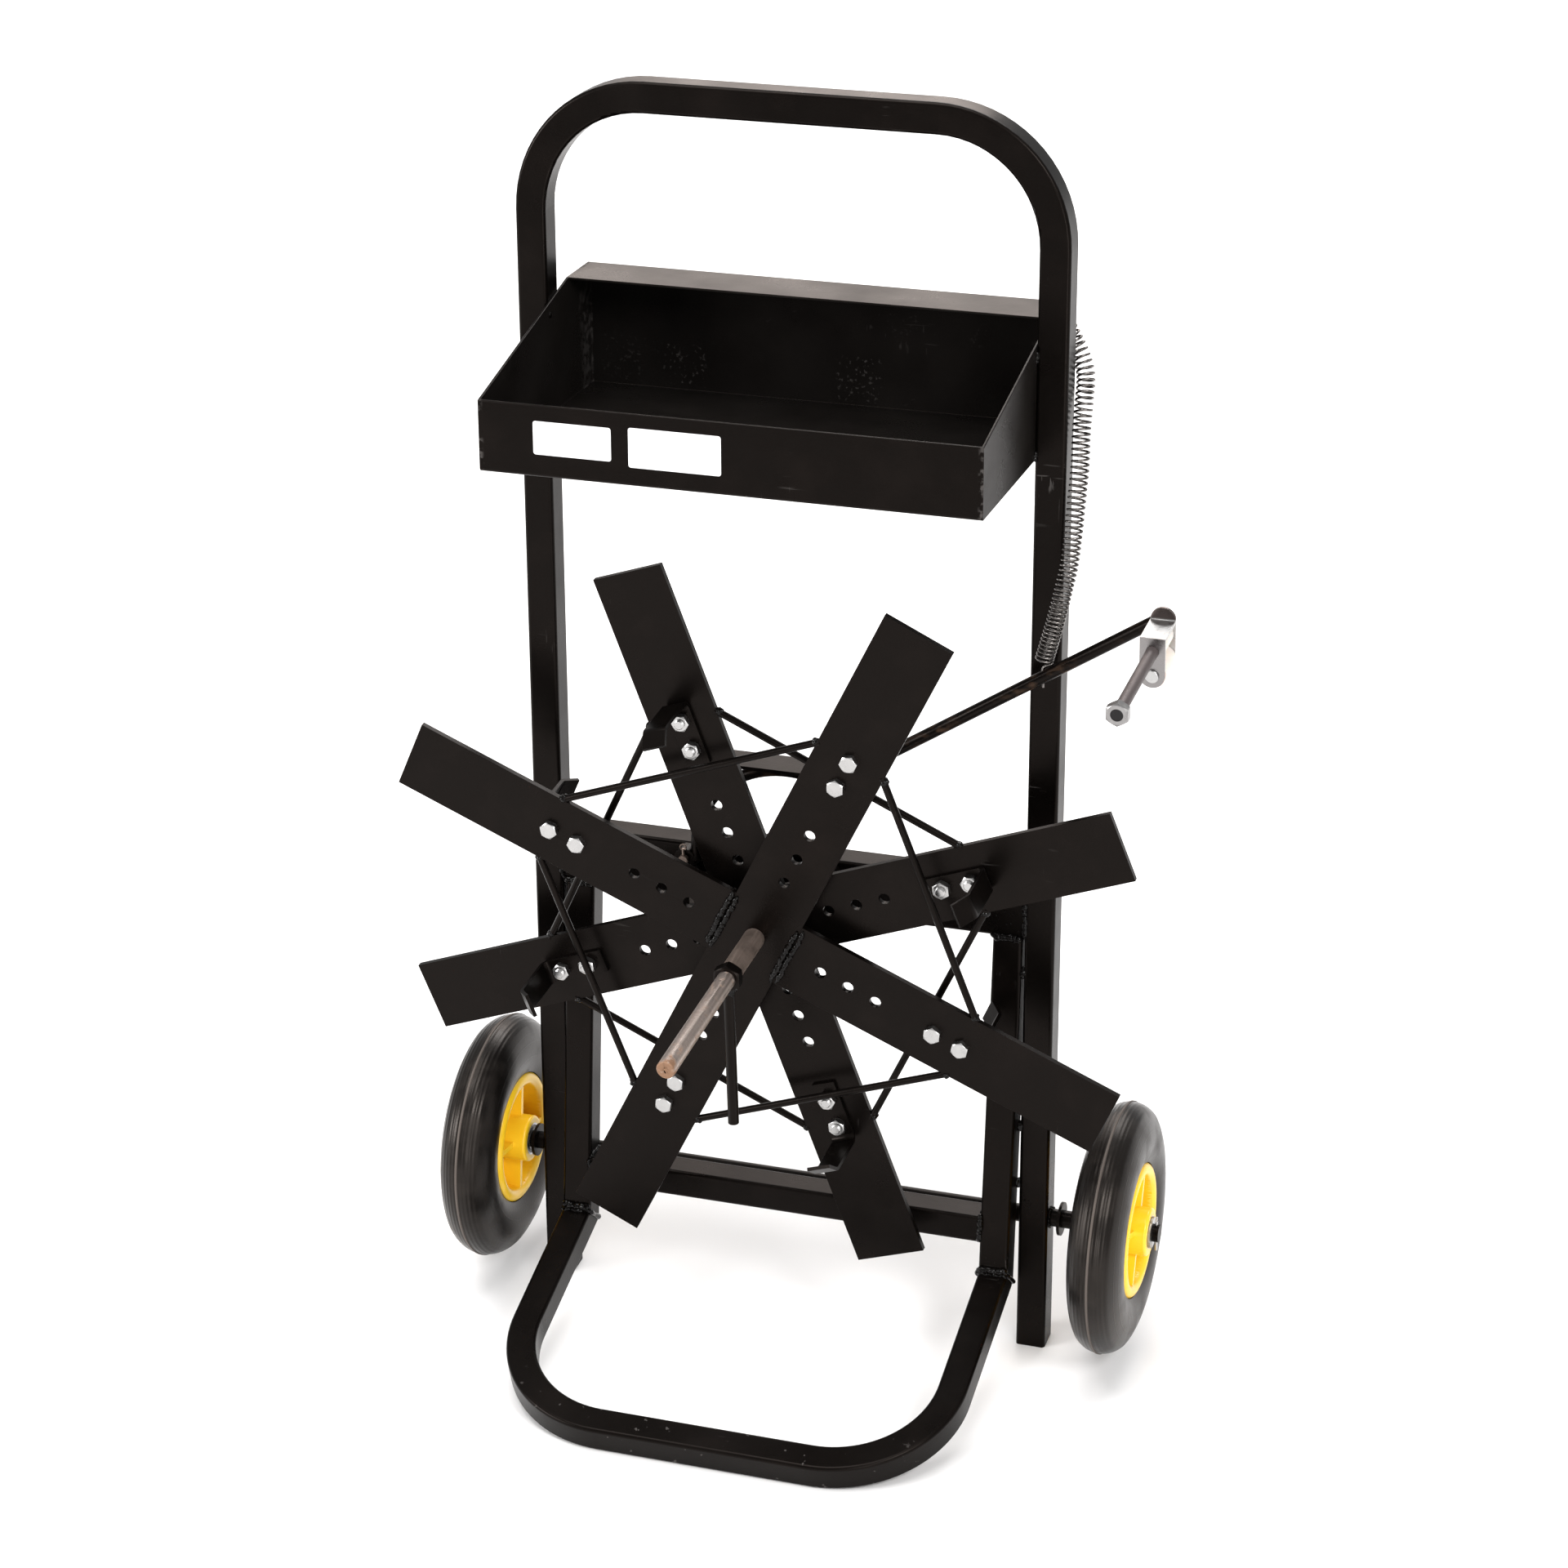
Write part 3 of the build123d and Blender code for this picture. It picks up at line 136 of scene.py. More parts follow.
class Value:
    """A value in a material's node tree. Arithmetic on it adds nodes."""

    def __init__(self, tree, socket):
        self.tree = tree
        self.socket = socket

    def node(self, kind, inputs, output=0, **settings):
        """Add any node, with values or plain numbers on its inputs."""
        made = self.tree.nodes.new(kind)
        for name, value in settings.items():
            setattr(made, name, value)
        for name, value in inputs.items():
            if isinstance(value, Value):
                self.tree.links.new(value.socket, made.inputs[name])
            else:
                made.inputs[name].default_value = value
        return Value(self.tree, made.outputs[output])

    def maths(self, operation, first, second=0.0):
        return self.node("ShaderNodeMath", {0: first, 1: second}, operation=operation)

    def __add__(self, other):
        return self.maths("ADD", self, other)

    __radd__ = __add__

    def __sub__(self, other):
        return self.maths("SUBTRACT", self, other)

    def __rsub__(self, other):
        return self.maths("SUBTRACT", other, self)

    def __mul__(self, other):
        return self.maths("MULTIPLY", self, other)

    __rmul__ = __mul__

    def __pow__(self, other):
        return self.maths("POWER", self, other)

    def sine(self):
        return self.maths("SINE", self)

    def size(self):
        return self.maths("ABSOLUTE", self)

    def capped(self):
        return self.maths("MINIMUM", self, 1.0)


def ramp(value, low, high, start=0.0, end=1.0):
    """Spread a value's range from low to high over start to end."""
    spread = {"Value": value, "From Min": low, "From Max": high, "To Min": start, "To Max": end}
    return value.node("ShaderNodeMapRange", spread)


def cloud(place, scale, detail=4.0):
    """Noise from 0 to 1."""
    return place.node("ShaderNodeTexNoise", {"Vector": place, "Scale": scale, "Detail": detail})


def stretched(place, across, along, up):
    """Places scaled differently along each axis."""
    return place.node("ShaderNodeMapping", {"Vector": place, "Scale": (across, along, up)})


def part_of(place, axis):
    """One coordinate of a place."""
    return place.node("ShaderNodeSeparateXYZ", {"Vector": place}, axis)


def blend(share, first, second):
    """A colour between two others."""
    return share.node("ShaderNodeMix", {0: share, 6: first, 7: second}, 2, data_type="RGBA")


def bump(height, strength, distance=0.001):
    """A normal from a height."""
    return height.node("ShaderNodeBump", {"Height": height, "Strength": strength, "Distance": distance})


def near(value, middle, reach):
    """1 where a value is within reach of a middle, falling to 0 just beyond it."""
    return ramp((value - middle).size(), reach, reach * 1.25, 1.0, 0.0)


def axle_distance(place):
    """Distance from the axle's centre line."""
    back = part_of(place, 1) - axle.y
    up = part_of(place, 2) - axle.z
    return (back * back + up * up) ** 0.5


def material(name, paint, **constants):
    """A material from a function that returns what varies over it."""
    made = bpy.data.materials.new(name)
    made.use_nodes = True
    tree = made.node_tree
    shader = tree.nodes["Principled BSDF"]
    for socket, value in constants.items():
        shader.inputs[socket.replace("_", " ")].default_value = value
    place = Value(tree, tree.nodes.new("ShaderNodeTexCoord").outputs["Object"])
    for socket, value in paint(place).items():
        tree.links.new(value.socket, shader.inputs[socket])
    return made


def scratches(place):
    """Short fine scratches in scattered patches."""
    level = ramp(cloud(stretched(place, 30, 420, 420), 1.0, 2.0), 0.66, 0.70)
    upright = ramp(cloud(stretched(place, 420, 420, 30), 1.0, 2.0), 0.67, 0.71)
    patches = ramp(cloud(place, 11.0, 3.0), 0.62, 0.74)
    return (level + upright) * patches


def enamel(place, marks=None):
    """Satin black enamel: a warm black with uneven gloss, fine texture, scratches and any further marks."""
    worn = scratches(place)
    if marks is not None:
        worn = worn + marks
    dust = ramp(cloud(place, 26.0, 6.0), 0.5, 0.8)
    base = blend(dust, (0.0016, 0.0012, 0.0010, 1), (0.0036, 0.0026, 0.0022, 1))
    colour = blend(worn.capped() * 0.40, base, (0.125, 0.115, 0.110, 1))
    gloss = ramp(cloud(place, 18.0, 5.0), 0.3, 0.75, 0.25, 0.38)
    skin = cloud(place, 750.0, 2.0) + cloud(place, 140.0, 2.0) * 0.8
    return {"Base Color": colour, "Roughness": gloss + worn * 0.2, "Normal": bump(skin, 0.05)}


def tray_enamel(place):
    """The tray's enamel, rubbed inside its back wall, with a bare seam there, chipped front corners, and
    dust with painted light behind its front wall.
    """
    across = part_of(place, 0)
    depth = part_of(place, 1) * math.cos(LEAN) - part_of(place, 2) * math.sin(LEAN)
    inside = ramp(depth, tray_back - 0.0010, tray_back - 0.0006, 1.0, 0.0)
    back = ramp(part_of(place, 1), 0.185, 0.195) * inside
    front = ramp(part_of(place, 1), -0.030, -0.022, 1.0, 0.0)
    specks = ramp(cloud(place, 330.0, 3.0), 0.60, 0.68)
    patch = near(across, -0.118, 0.016) + near(across, 0.030, 0.016) + near(across, -0.172, 0.015) * 0.6
    height = near(part_of(place, 2), 0.798, 0.016)
    wide = ramp(cloud(place, 30.0, 3.0), 0.60, 0.70) * 0.35
    seam = near(across, -0.1982, 0.0013) * ramp(cloud(place, 160.0, 3.0), 0.42, 0.58)
    chips = ramp(across.size(), 0.1955, 0.1985) * front * ramp(cloud(place, 190.0, 4.0), 0.50, 0.60)
    looks = enamel(place, specks * (patch * height + wide) * back + seam * back + chips)
    # Partly dust and partly painted light: everything behind the front wall is lightened to stand in for
    # light reaching inside the tray.
    dust = ramp(part_of(place, 1), -0.024, -0.016) * ramp(cloud(place, 14.0, 5.0), 0.2, 0.8, 0.2, 0.8)
    looks["Base Color"] = blend(dust, looks["Base Color"], (0.0135, 0.0118, 0.0108, 1))
    return looks


def foot_enamel(place):
    """The foot loop's enamel, chipped along its front near the floor."""
    chips = ramp(cloud(place, 130.0, 4.0), 0.690, 0.705)
    front = ramp(part_of(place, 1), -0.17, -0.13, 1.0, 0.0)
    return enamel(place, chips * front)


def arm_enamel(place):
    """The swing arm's enamel, rubbed brown where it has been handled."""
    streaks = ramp(cloud(stretched(place, 60, 300, 110), 1.0, 5.0), 0.50, 0.66)
    rubbed = streaks * ramp(cloud(place, 16.0, 3.0), 0.44, 0.60)
    looks = enamel(place)
    looks["Base Color"] = blend(rubbed * 0.75, looks["Base Color"], (0.060, 0.034, 0.021, 1))
    return looks


def weld_enamel(place):
    """Black enamel over weld: glossy and lumpy."""
    lumps = cloud(place, 300.0, 2.0)
    colour = blend(lumps, (0.0014, 0.0011, 0.0010, 1), (0.0040, 0.0032, 0.0028, 1))
    gloss = ramp(lumps, 0.35, 0.65, 0.08, 0.20)
    return {"Base Color": colour, "Roughness": gloss, "Normal": bump(lumps, 0.30)}


def zinc(place):
    """Bright zinc plate, a little cloudy."""
    shade = cloud(place, 120.0, 4.0)
    colour = blend(shade, (0.33, 0.33, 0.33, 1), (0.50, 0.49, 0.48, 1))
    gloss = ramp(shade, 0.3, 0.7, 0.22, 0.38)
    return {"Base Color": colour, "Roughness": gloss, "Normal": bump(shade, 0.06)}


def bracket_zinc(place):
    """Zinc plate with painted shade on the bracket's front face, and brown where its back plate stands above
    its top.
    """
    ear = ramp(part_of(place, 2), (BRACKET_Z + 0.3) / 1000, (BRACKET_Z + 1.5) / 1000)
    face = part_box("roller_bracket")[0].y
    # Painted shade: the bracket's front face is darkened to stand in for the shade that falls on it.
    front = ramp(part_of(place, 1), face + 0.0008, face + 0.0016, 0.8, 0.0)
    looks = zinc(place)
    painted_front_shade = blend(front, looks["Base Color"], (0.170, 0.158, 0.157, 1))
    looks["Base Color"] = blend(ear, painted_front_shade, (0.120, 0.098, 0.092, 1))
    return looks


def dull_zinc(place):
    """Zinc plate that has gone dull."""
    shade = cloud(place, 160.0, 4.0)
    colour = blend(shade, (0.17, 0.165, 0.165, 1), (0.36, 0.35, 0.345, 1))
    return {"Base Color": colour, "Roughness": ramp(shade, 0.3, 0.7, 0.24, 0.40)}


def thread_steel(place):
    """Worn steel thread: a brown tarnish with brighter rubbed bands and specks of rust."""
    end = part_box("spindle")[0].y
    tip = ramp(part_of(place, 1), end, end + 0.014, 0.34, 0.0)
    rust = ramp(cloud(place, 170.0, 6.0) + tip, 0.54, 0.78)
    bands = cloud(stretched(place, 20, 900, 20), 1.0, 3.0)
    steel = blend(bands, (0.36, 0.295, 0.260, 1), (0.62, 0.53, 0.48, 1))
    colour = blend(rust, steel, (0.24, 0.135, 0.080, 1))
    gloss = ramp(rust, 0.0, 1.0, 0.32, 0.60)
    metal = ramp(rust, 0.0, 1.0, 1.0, 0.55)
    pits = bump(cloud(place, 420.0, 3.0), 0.25, 0.0005)
    return {"Base Color": colour, "Roughness": gloss, "Metallic": metal, "Normal": pits}


def dull_steel(place):
    """Dark drawn steel with faint lines along Y."""
    lines = cloud(stretched(place, 900, 25, 900), 1.0, 3.0)
    stain = ramp(cloud(place, 60.0, 4.0), 0.4, 0.7)
    colour = blend(stain, (0.265, 0.205, 0.172, 1), (0.150, 0.115, 0.096, 1))
    gloss = ramp(lines, 0.3, 0.7, 0.40, 0.60)
    return {"Base Color": colour, "Roughness": gloss, "Normal": bump(lines, 0.12)}


def guide_steel(place):
    """Grey phosphated steel, darker at the guide pin's front end."""
    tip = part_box("guide_pin")[0].y
    end = ramp(part_of(place, 1), tip + 0.0006, tip + 0.0012, 1.0, 0.0)
    stain = cloud(place, 80.0, 4.0)
    grain = blend(stain, (0.068, 0.054, 0.053, 1), (0.100, 0.081, 0.079, 1))
    colour = blend(end, grain, (0.006, 0.005, 0.005, 1))
    return {"Base Color": colour, "Roughness": ramp(stain, 0.3, 0.7, 0.42, 0.58)}


def wire_steel(place):
    """Drawn spring wire."""
    stain = ramp(cloud(place, 90.0, 4.0), 0.40, 0.75)
    colour = blend(stain, (0.170, 0.158, 0.150, 1), (0.062, 0.056, 0.052, 1))
    return {"Base Color": colour, "Roughness": ramp(stain, 0.0, 1.0, 0.22, 0.38)}


def bearing_steel(place):
    """A ball bearing's bright rings with a dark shield between them."""
    shield = near(axle_distance(place), 0.0108, 0.0014)
    colour = blend(shield, (0.55, 0.54, 0.53, 1), (0.06, 0.058, 0.055, 1))
    return {"Base Color": colour, "Roughness": ramp(cloud(place, 200.0), 0.3, 0.7, 0.25, 0.42)}


def rubber(place):
    """Moulded rubber: a pale mould line between grooves, rings on the side walls and a little dust."""
    radius = axle_distance(place)
    across = part_of(place, 0)
    tread = ramp(radius, 0.0975, 0.0990)
    middles = near(across, left_wheel_x, 0.0010) + near(across, right_wheel_x, 0.0010)
    flash = middles * ramp(radius, 0.1030, 0.1045)
    grooves = (across * (2 * math.pi / 0.0034)).sine() * tread
    rings = near(radius, 0.0850, 0.0006) + near(radius, 0.0725, 0.0005) + near(radius, 0.0925, 0.0004)
    dust = ramp(cloud(place, 42.0, 6.0), 0.46, 0.80)
    dusty = blend(dust, (0.0040, 0.0034, 0.0031, 1), (0.0135, 0.0112, 0.0098, 1))
    colour = blend(flash.capped() * 0.8, dusty, (0.105, 0.088, 0.078, 1))
    height = grooves * 0.45 + rings * 0.6 + cloud(place, 420.0, 3.0) * 0.3
    gloss = ramp(dust, 0.0, 1.0, 0.30, 0.50)
    return {"Base Color": colour, "Roughness": gloss + flash * 0.25, "Normal": bump(height, 0.22)}


def yellow_plastic(place):
    """Glossy moulded yellow plastic with faint dirt."""
    dirt = ramp(cloud(place, 55.0, 6.0), 0.58, 0.86)
    colour = blend(dirt * 0.30, (0.96, 0.59, 0.018, 1), (0.46, 0.27, 0.030, 1))
    skin = bump(cloud(place, 160.0), 0.03)
    return {"Base Color": colour, "Roughness": ramp(dirt, 0.0, 1.0, 0.28, 0.5), "Normal": skin}


def nylon(place):
    """Turned nylon, slightly yellowed."""
    shade = cloud(place, 70.0, 4.0)
    return {"Base Color": blend(shade, (0.86, 0.76, 0.69, 1), (0.76, 0.65, 0.58, 1))}


def paper(place):
    """Plain matt white label stock."""
    shade = cloud(place, 40.0, 4.0)
    return {"Base Color": blend(shade, (0.88, 0.87, 0.88, 1), (0.80, 0.79, 0.80, 1))}


def bronze(place):
    """Sintered bronze."""
    shade = cloud(place, 300.0, 3.0)
    return {"Base Color": blend(shade, (0.46, 0.30, 0.14, 1), (0.32, 0.20, 0.09, 1))}


def friction(place):
    """Moulded friction lining with flecks of metal."""
    flecks = ramp(cloud(place, 900.0, 2.0), 0.64, 0.70)
    return {"Base Color": blend(flecks, (0.055, 0.045, 0.038, 1), (0.30, 0.24, 0.16, 1))}


satin = {"Specular_IOR_Level": 0.095, "Specular_Tint": (1.0, 0.84, 0.76, 1)}
black = material("black enamel", enamel, **satin)
tray_black = material("tray enamel", tray_enamel, **satin)
foot_black = material("foot enamel", foot_enamel, **satin)
arm_black = material("arm enamel", arm_enamel, **satin)
weld_black = material("weld enamel", weld_enamel, Specular_IOR_Level=0.14)
plated = material("zinc plate", zinc, Metallic=1.0)
bracket_plate = material("bracket zinc", bracket_zinc, Metallic=1.0)
dull_plate = material("dull zinc", dull_zinc, Metallic=1.0)
spindle_steel = material("thread steel", thread_steel)
dark_steel = material("dull steel", dull_steel, Metallic=0.8)
guide_grey = material("guide steel", guide_steel, Metallic=0.5)
spring_steel = material("spring wire", wire_steel, Metallic=1.0)
bearing = material("bearing steel", bearing_steel, Metallic=0.9)
tyre_rubber = material("tyre rubber", rubber, Specular_IOR_Level=0.24, Specular_Tint=(1.0, 0.88, 0.80, 1))
yellow = material("yellow plastic", yellow_plastic)
white_nylon = material("white nylon", nylon, Roughness=0.42, Subsurface_Weight=0.15)
label_paper = material("label paper", paper, Roughness=0.40)
bush_bronze = material("bronze", bronze, Metallic=1.0, Roughness=0.42)
lining = material("friction lining", friction, Roughness=0.8)

finishes = {
    "tool_tray": tray_black, "foot_loop": foot_black, "spindle": spindle_steel, "spacer_sleeve": dark_steel,
    "lever_pivot_pin": dark_steel, "retaining_collar": dark_steel, "guide_pin": guide_grey,
    "lever_bar": arm_black, "lever_pivot_split_pin": dark_steel,
    "left_wheel_bearings": bearing, "right_wheel_bearings": bearing,
    "left_tyre": tyre_rubber, "right_tyre": tyre_rubber, "left_rim": yellow, "right_rim": yellow,
    "upper_roller": white_nylon, "lower_roller": white_nylon,
    "spindle_bushes": bush_bronze, "brake_lining": lining, "tension_spring": spring_steel,
    "axle_end_washers": plated, "axle_split_pins": plated,
    "rear_clip_bolts": plated, "rear_clip_nuts": plated,
    "front_clip_bolts": plated, "front_clip_nuts": plated, "roller_bracket": bracket_plate,
    "guide_pin_nut": dull_plate, "lower_roller_pin": plated, "collar_set_screw": plated,
}
for name, part in nodes.items():
    part.data.materials.clear()
    part.data.materials.append(finishes.get(name, black))


# Making pieces

def piece(name, mesh, finish, body=None, crease=None):
    """Turn a mesh into a piece that rides on a body, with edges sharper than a crease kept sharp."""
    bmesh.ops.recalc_face_normals(mesh, faces=mesh.faces)
    data = bpy.data.meshes.new(name)
    mesh.to_mesh(data)
    mesh.free()
    data.materials.append(finish)
    if crease:
        data.set_sharp_from_angle(angle=math.radians(crease))
    made = bpy.data.objects.new(name, data)
    bpy.context.scene.collection.objects.link(made)
    if body:
        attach(made, body)
    return made


def smooth(mesh):
    """Shade every face of a mesh smooth."""
    for face in mesh.faces:
        face.smooth = True
    return mesh


def stand_in(name, node, mesh, crease=None):
    """A finer piece in the place of a frame piece, with its finish and body."""
    made = piece(name, mesh, finishes.get(node, black), body_of[node], crease)
    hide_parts(node)
    return made


def tube(mesh, points, radii, sides):
    """A closed round tube along points, with a radius at each."""
    curve = bpy.data.curves.new("line", "CURVE")
    curve.dimensions = "3D"
    curve.bevel_depth = 1.0
    curve.bevel_resolution = sides // 2 - 2
    curve.use_fill_caps = True
    line = curve.splines.new("POLY")
    line.points.add(len(points) - 1)
    for spot, place, radius in zip(line.points, points, radii):
        spot.co = (*place, 1.0)
        spot.radius = radius
    holder = bpy.data.objects.new("line", curve)
    data = bpy.data.meshes.new_from_object(holder)
    mesh.from_mesh(data)
    bpy.data.objects.remove(holder)
    bpy.data.curves.remove(curve)
    bpy.data.meshes.remove(data)


# Rounded edges on flat bar and sheet

SHARP = math.radians(35)
COPLANAR = math.radians(0.5)
SMALL_FACE = 3e-5


def rounded(node, width):
    """A copy of a frame piece with its sharp edges rounded by a width in millimetres."""
    mesh = bmesh.new()
    mesh.from_mesh(nodes[node].data)
    bmesh.ops.remove_doubles(mesh, verts=mesh.verts, dist=1e-6)
    bmesh.ops.dissolve_limit(mesh, angle_limit=COPLANAR, verts=mesh.verts, edges=mesh.edges)
    edges = [edge for edge in mesh.edges if edge.is_manifold and edge.calc_face_angle() > SHARP]
    made = bmesh.ops.bevel(mesh, geom=edges, offset=width / 1000, offset_type="OFFSET", segments=3,
                           profile=0.5, affect="EDGES", clamp_overlap=True, material=-1)
    rounds = set(made["faces"])
    for face in mesh.faces:
        face.smooth = face in rounds or face.calc_area() < SMALL_FACE
    return mesh


for node, width in {
    "rear_long_bar": 0.7, "rear_half_bars": 0.7, "front_long_bar": 0.7, "front_half_bars": 0.7,
    "tool_tray": 0.6, "rear_core_clips": 0.5, "front_core_clips": 0.5,
    "roller_bracket": 0.5, "lever_strip": 0.6,
    "left_rim": 1.1, "right_rim": 1.1, "spacer_sleeve": 0.4, "lower_roller_pin": 1.5,
}.items():
    stand_in(node + "_rounded", node, rounded(node, width))


# Fasteners and threads

GUIDE_NUT_HEX = 17.0
GUIDE_RADIUS = 5.0
SPINDLE_NUT_HEX = 21.0
THREAD_PLAY = 0.1
HEX_STEPS = 48
CHAMFER_START = 0.94
CHAMFER_SLOPE = math.tan(math.radians(30))
SECTOR = math.pi / 3
FASTENER_CREASE = 24


def turned(outline, steps):
    """A shape turned about Z from an outline of radii and places along Z, in millimetres."""
    mesh = bmesh.new()
    verts = [mesh.verts.new((radius / 1000, 0, along / 1000)) for radius, along in outline]
    edges = [mesh.edges.new(pair) for pair in zip(verts, verts[1:])]
    bmesh.ops.spin(mesh, geom=verts + edges, cent=(0, 0, 0), axis=(0, 0, 1), angle=2 * math.pi, steps=steps,
                   use_merge=True)
    bmesh.ops.remove_doubles(mesh, verts=mesh.verts, dist=1e-6)
    return smooth(mesh)


def hexed(mesh, across, chamfered):
    """Draw the widest points in to a hexagon's sides, and chamfer the ends given."""
    for vert in mesh.verts:
        radius = math.hypot(vert.co.x, vert.co.y)
        if radius < 0.9 * across / 1000:
            continue
        turn = math.atan2(vert.co.y, vert.co.x)
        reach = across / 2000 / math.cos((turn + SECTOR / 2) % SECTOR - SECTOR / 2)
        drop = (reach - CHAMFER_START * across / 2000) * CHAMFER_SLOPE
        for end, inward in chamfered.items():
            if abs(vert.co.z - end / 1000) < 1e-6:
                vert.co.z += inward * drop
                break
        vert.co.x *= reach / radius
        vert.co.y *= reach / radius
    return mesh


def nut(across, bore, start, end):
    """A hexagon nut with both ends chamfered."""
    lip = CHAMFER_START * across / 2
    outline = [(bore, start), (lip, start), (across, start)]
    outline += [(across, end), (lip, end), (bore, end), (bore, start)]
    return hexed(turned(outline, HEX_STEPS), across, {start: 1, end: -1})


def clip_bolt():
    """A clip's bolt: a hexagon head behind the bar, a shank, and a threaded tail past the nut."""
    head_end = -BAR_THICK - BOLT_HEAD
    nut_end = CLIP_THICK + BOLT_NUT
    tip = nut_end + BOLT_TAIL
    lip = CHAMFER_START * BOLT_HEX / 2
    outline = [(0, head_end), (lip, head_end), (BOLT_HEX, head_end), (BOLT_HEX, -BAR_THICK),
               (BOLT_RADIUS, -BAR_THICK), (BOLT_RADIUS, nut_end)]
    for ridge in range(3):
        along = nut_end + 0.2 + ridge * 0.62
        outline += [(BOLT_RADIUS, along), (BOLT_RADIUS - 0.5, along + 0.31)]
    outline += [(BOLT_RADIUS, tip - 0.45), (BOLT_RADIUS - 0.7, tip), (0, tip)]
    return hexed(turned(outline, HEX_STEPS), BOLT_HEX, {head_end: 1})


def copies(pattern, places, facing):
    """A copy of a pattern at each place and turn, with its Z along Y or against it."""
    joined = bmesh.new()
    data = bpy.data.meshes.new("pattern")
    for place, turn in places:
        copy = pattern.copy()
        lay = Matrix.Rotation(-facing * math.pi / 2, 4, "X")
        bmesh.ops.transform(copy, matrix=Matrix.Translation(place) @ lay @ Matrix.Rotation(turn, 4, "Z"),
                            verts=copy.verts)
        copy.to_mesh(data)
        copy.free()
        joined.from_mesh(data)
    bpy.data.meshes.remove(data)
    pattern.free()
    return joined


def on_cross(y, angle, along, aside):
    """A point on a cross, out along an arm and across it."""
    turn = math.radians(angle)
    x = along * math.cos(turn) - aside * math.sin(turn)
    z = along * math.sin(turn) + aside * math.cos(turn)
    return at(x, y, SPINDLE_Z + z)


def clip_places(face_y, angle, skew):
    """Where the clips' bolts stand on a cross, each with a turn of its own."""
    angles = [angle, angle + 90 + skew, angle + 180, angle + 270 + skew]
    spots = [on_cross(face_y, turn, along, 0) for along in CLIP_BOLTS for turn in angles]
    return [(spot, random.uniform(0, SECTOR)) for spot in spots]


for cross, face_y, angle, skew, facing in (
    ("rear", REAR_FRONT, REAR_ANGLE, REAR_SKEW, -1),
    ("front", FRONT_FRONT + BAR_THICK, FRONT_ANGLE, FRONT_SKEW, 1),
):
    places = clip_places(face_y, angle, skew)
    bolts = copies(clip_bolt(), places, facing)
    nuts = copies(nut(BOLT_HEX, BOLT_RADIUS, CLIP_THICK, CLIP_THICK + BOLT_NUT), places, facing)
    stand_in(cross + "_clip_bolts_turned", cross + "_clip_bolts", bolts, FASTENER_CREASE)
    stand_in(cross + "_clip_nuts_turned", cross + "_clip_nuts", nuts, FASTENER_CREASE)


def corner_turn(node):
    """The angle of a hexagon's corner about Y, read from a frame piece."""
    middle = middle_of(node)
    offsets = [vert.co - middle for vert in nodes[node].data.vertices]
    corner = max(offsets, key=lambda offset: math.hypot(offset.x, offset.z))
    return math.atan2(-corner.z, corner.x)


def single_nut(node, across, bore):
    """A chamfered nut in the place of a frame piece whose axis is along Y."""
    low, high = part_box(node)
    middle = middle_of(node)
    place = Vector((middle.x, low.y, middle.z))
    turn = corner_turn(node) - SECTOR / 2
    mesh = copies(nut(across, bore, 0.0, (high.y - low.y) * 1000), [(place, turn)], 1)
    stand_in(node + "_turned", node, mesh, FASTENER_CREASE)


single_nut("guide_pin_nut", GUIDE_NUT_HEX, GUIDE_RADIUS)
single_nut("spindle_nut", SPINDLE_NUT_HEX, SPINDLE_RADIUS + THREAD_PLAY)

# The thread's shares of its pitch: where the crest ends, and where the root starts and ends
CREST_END = 0.28
ROOT_START = 0.52
ROOT_END = 0.70
THREAD_PITCH = 2.0
THREAD_DEPTH = 0.38
THREAD_STEPS = 28
TIP_CHAMFER = 1.1
TIP_MARK = 2.1
TIP_MARK_DEPTH = 1.47


def thread_turn():
    """One turn of the screw thread along Z."""
    mesh = bmesh.new()
    root = SPINDLE_RADIUS - THREAD_DEPTH
    outline = [(SPINDLE_RADIUS, 0.0), (SPINDLE_RADIUS, CREST_END), (root, ROOT_START), (root, ROOT_END)]
    outline.append((SPINDLE_RADIUS, 1.0))
    verts = [mesh.verts.new((radius / 1000, 0, share * THREAD_PITCH / 1000)) for radius, share in outline]
    edges = [mesh.edges.new(pair) for pair in zip(verts, verts[1:])]
    lead = (0, 0, THREAD_PITCH / THREAD_STEPS / 1000)
    bmesh.ops.spin(mesh, geom=verts + edges, cent=(0, 0, 0), axis=(0, 0, 1), dvec=lead, angle=2 * math.pi,
                   steps=THREAD_STEPS)
    return mesh


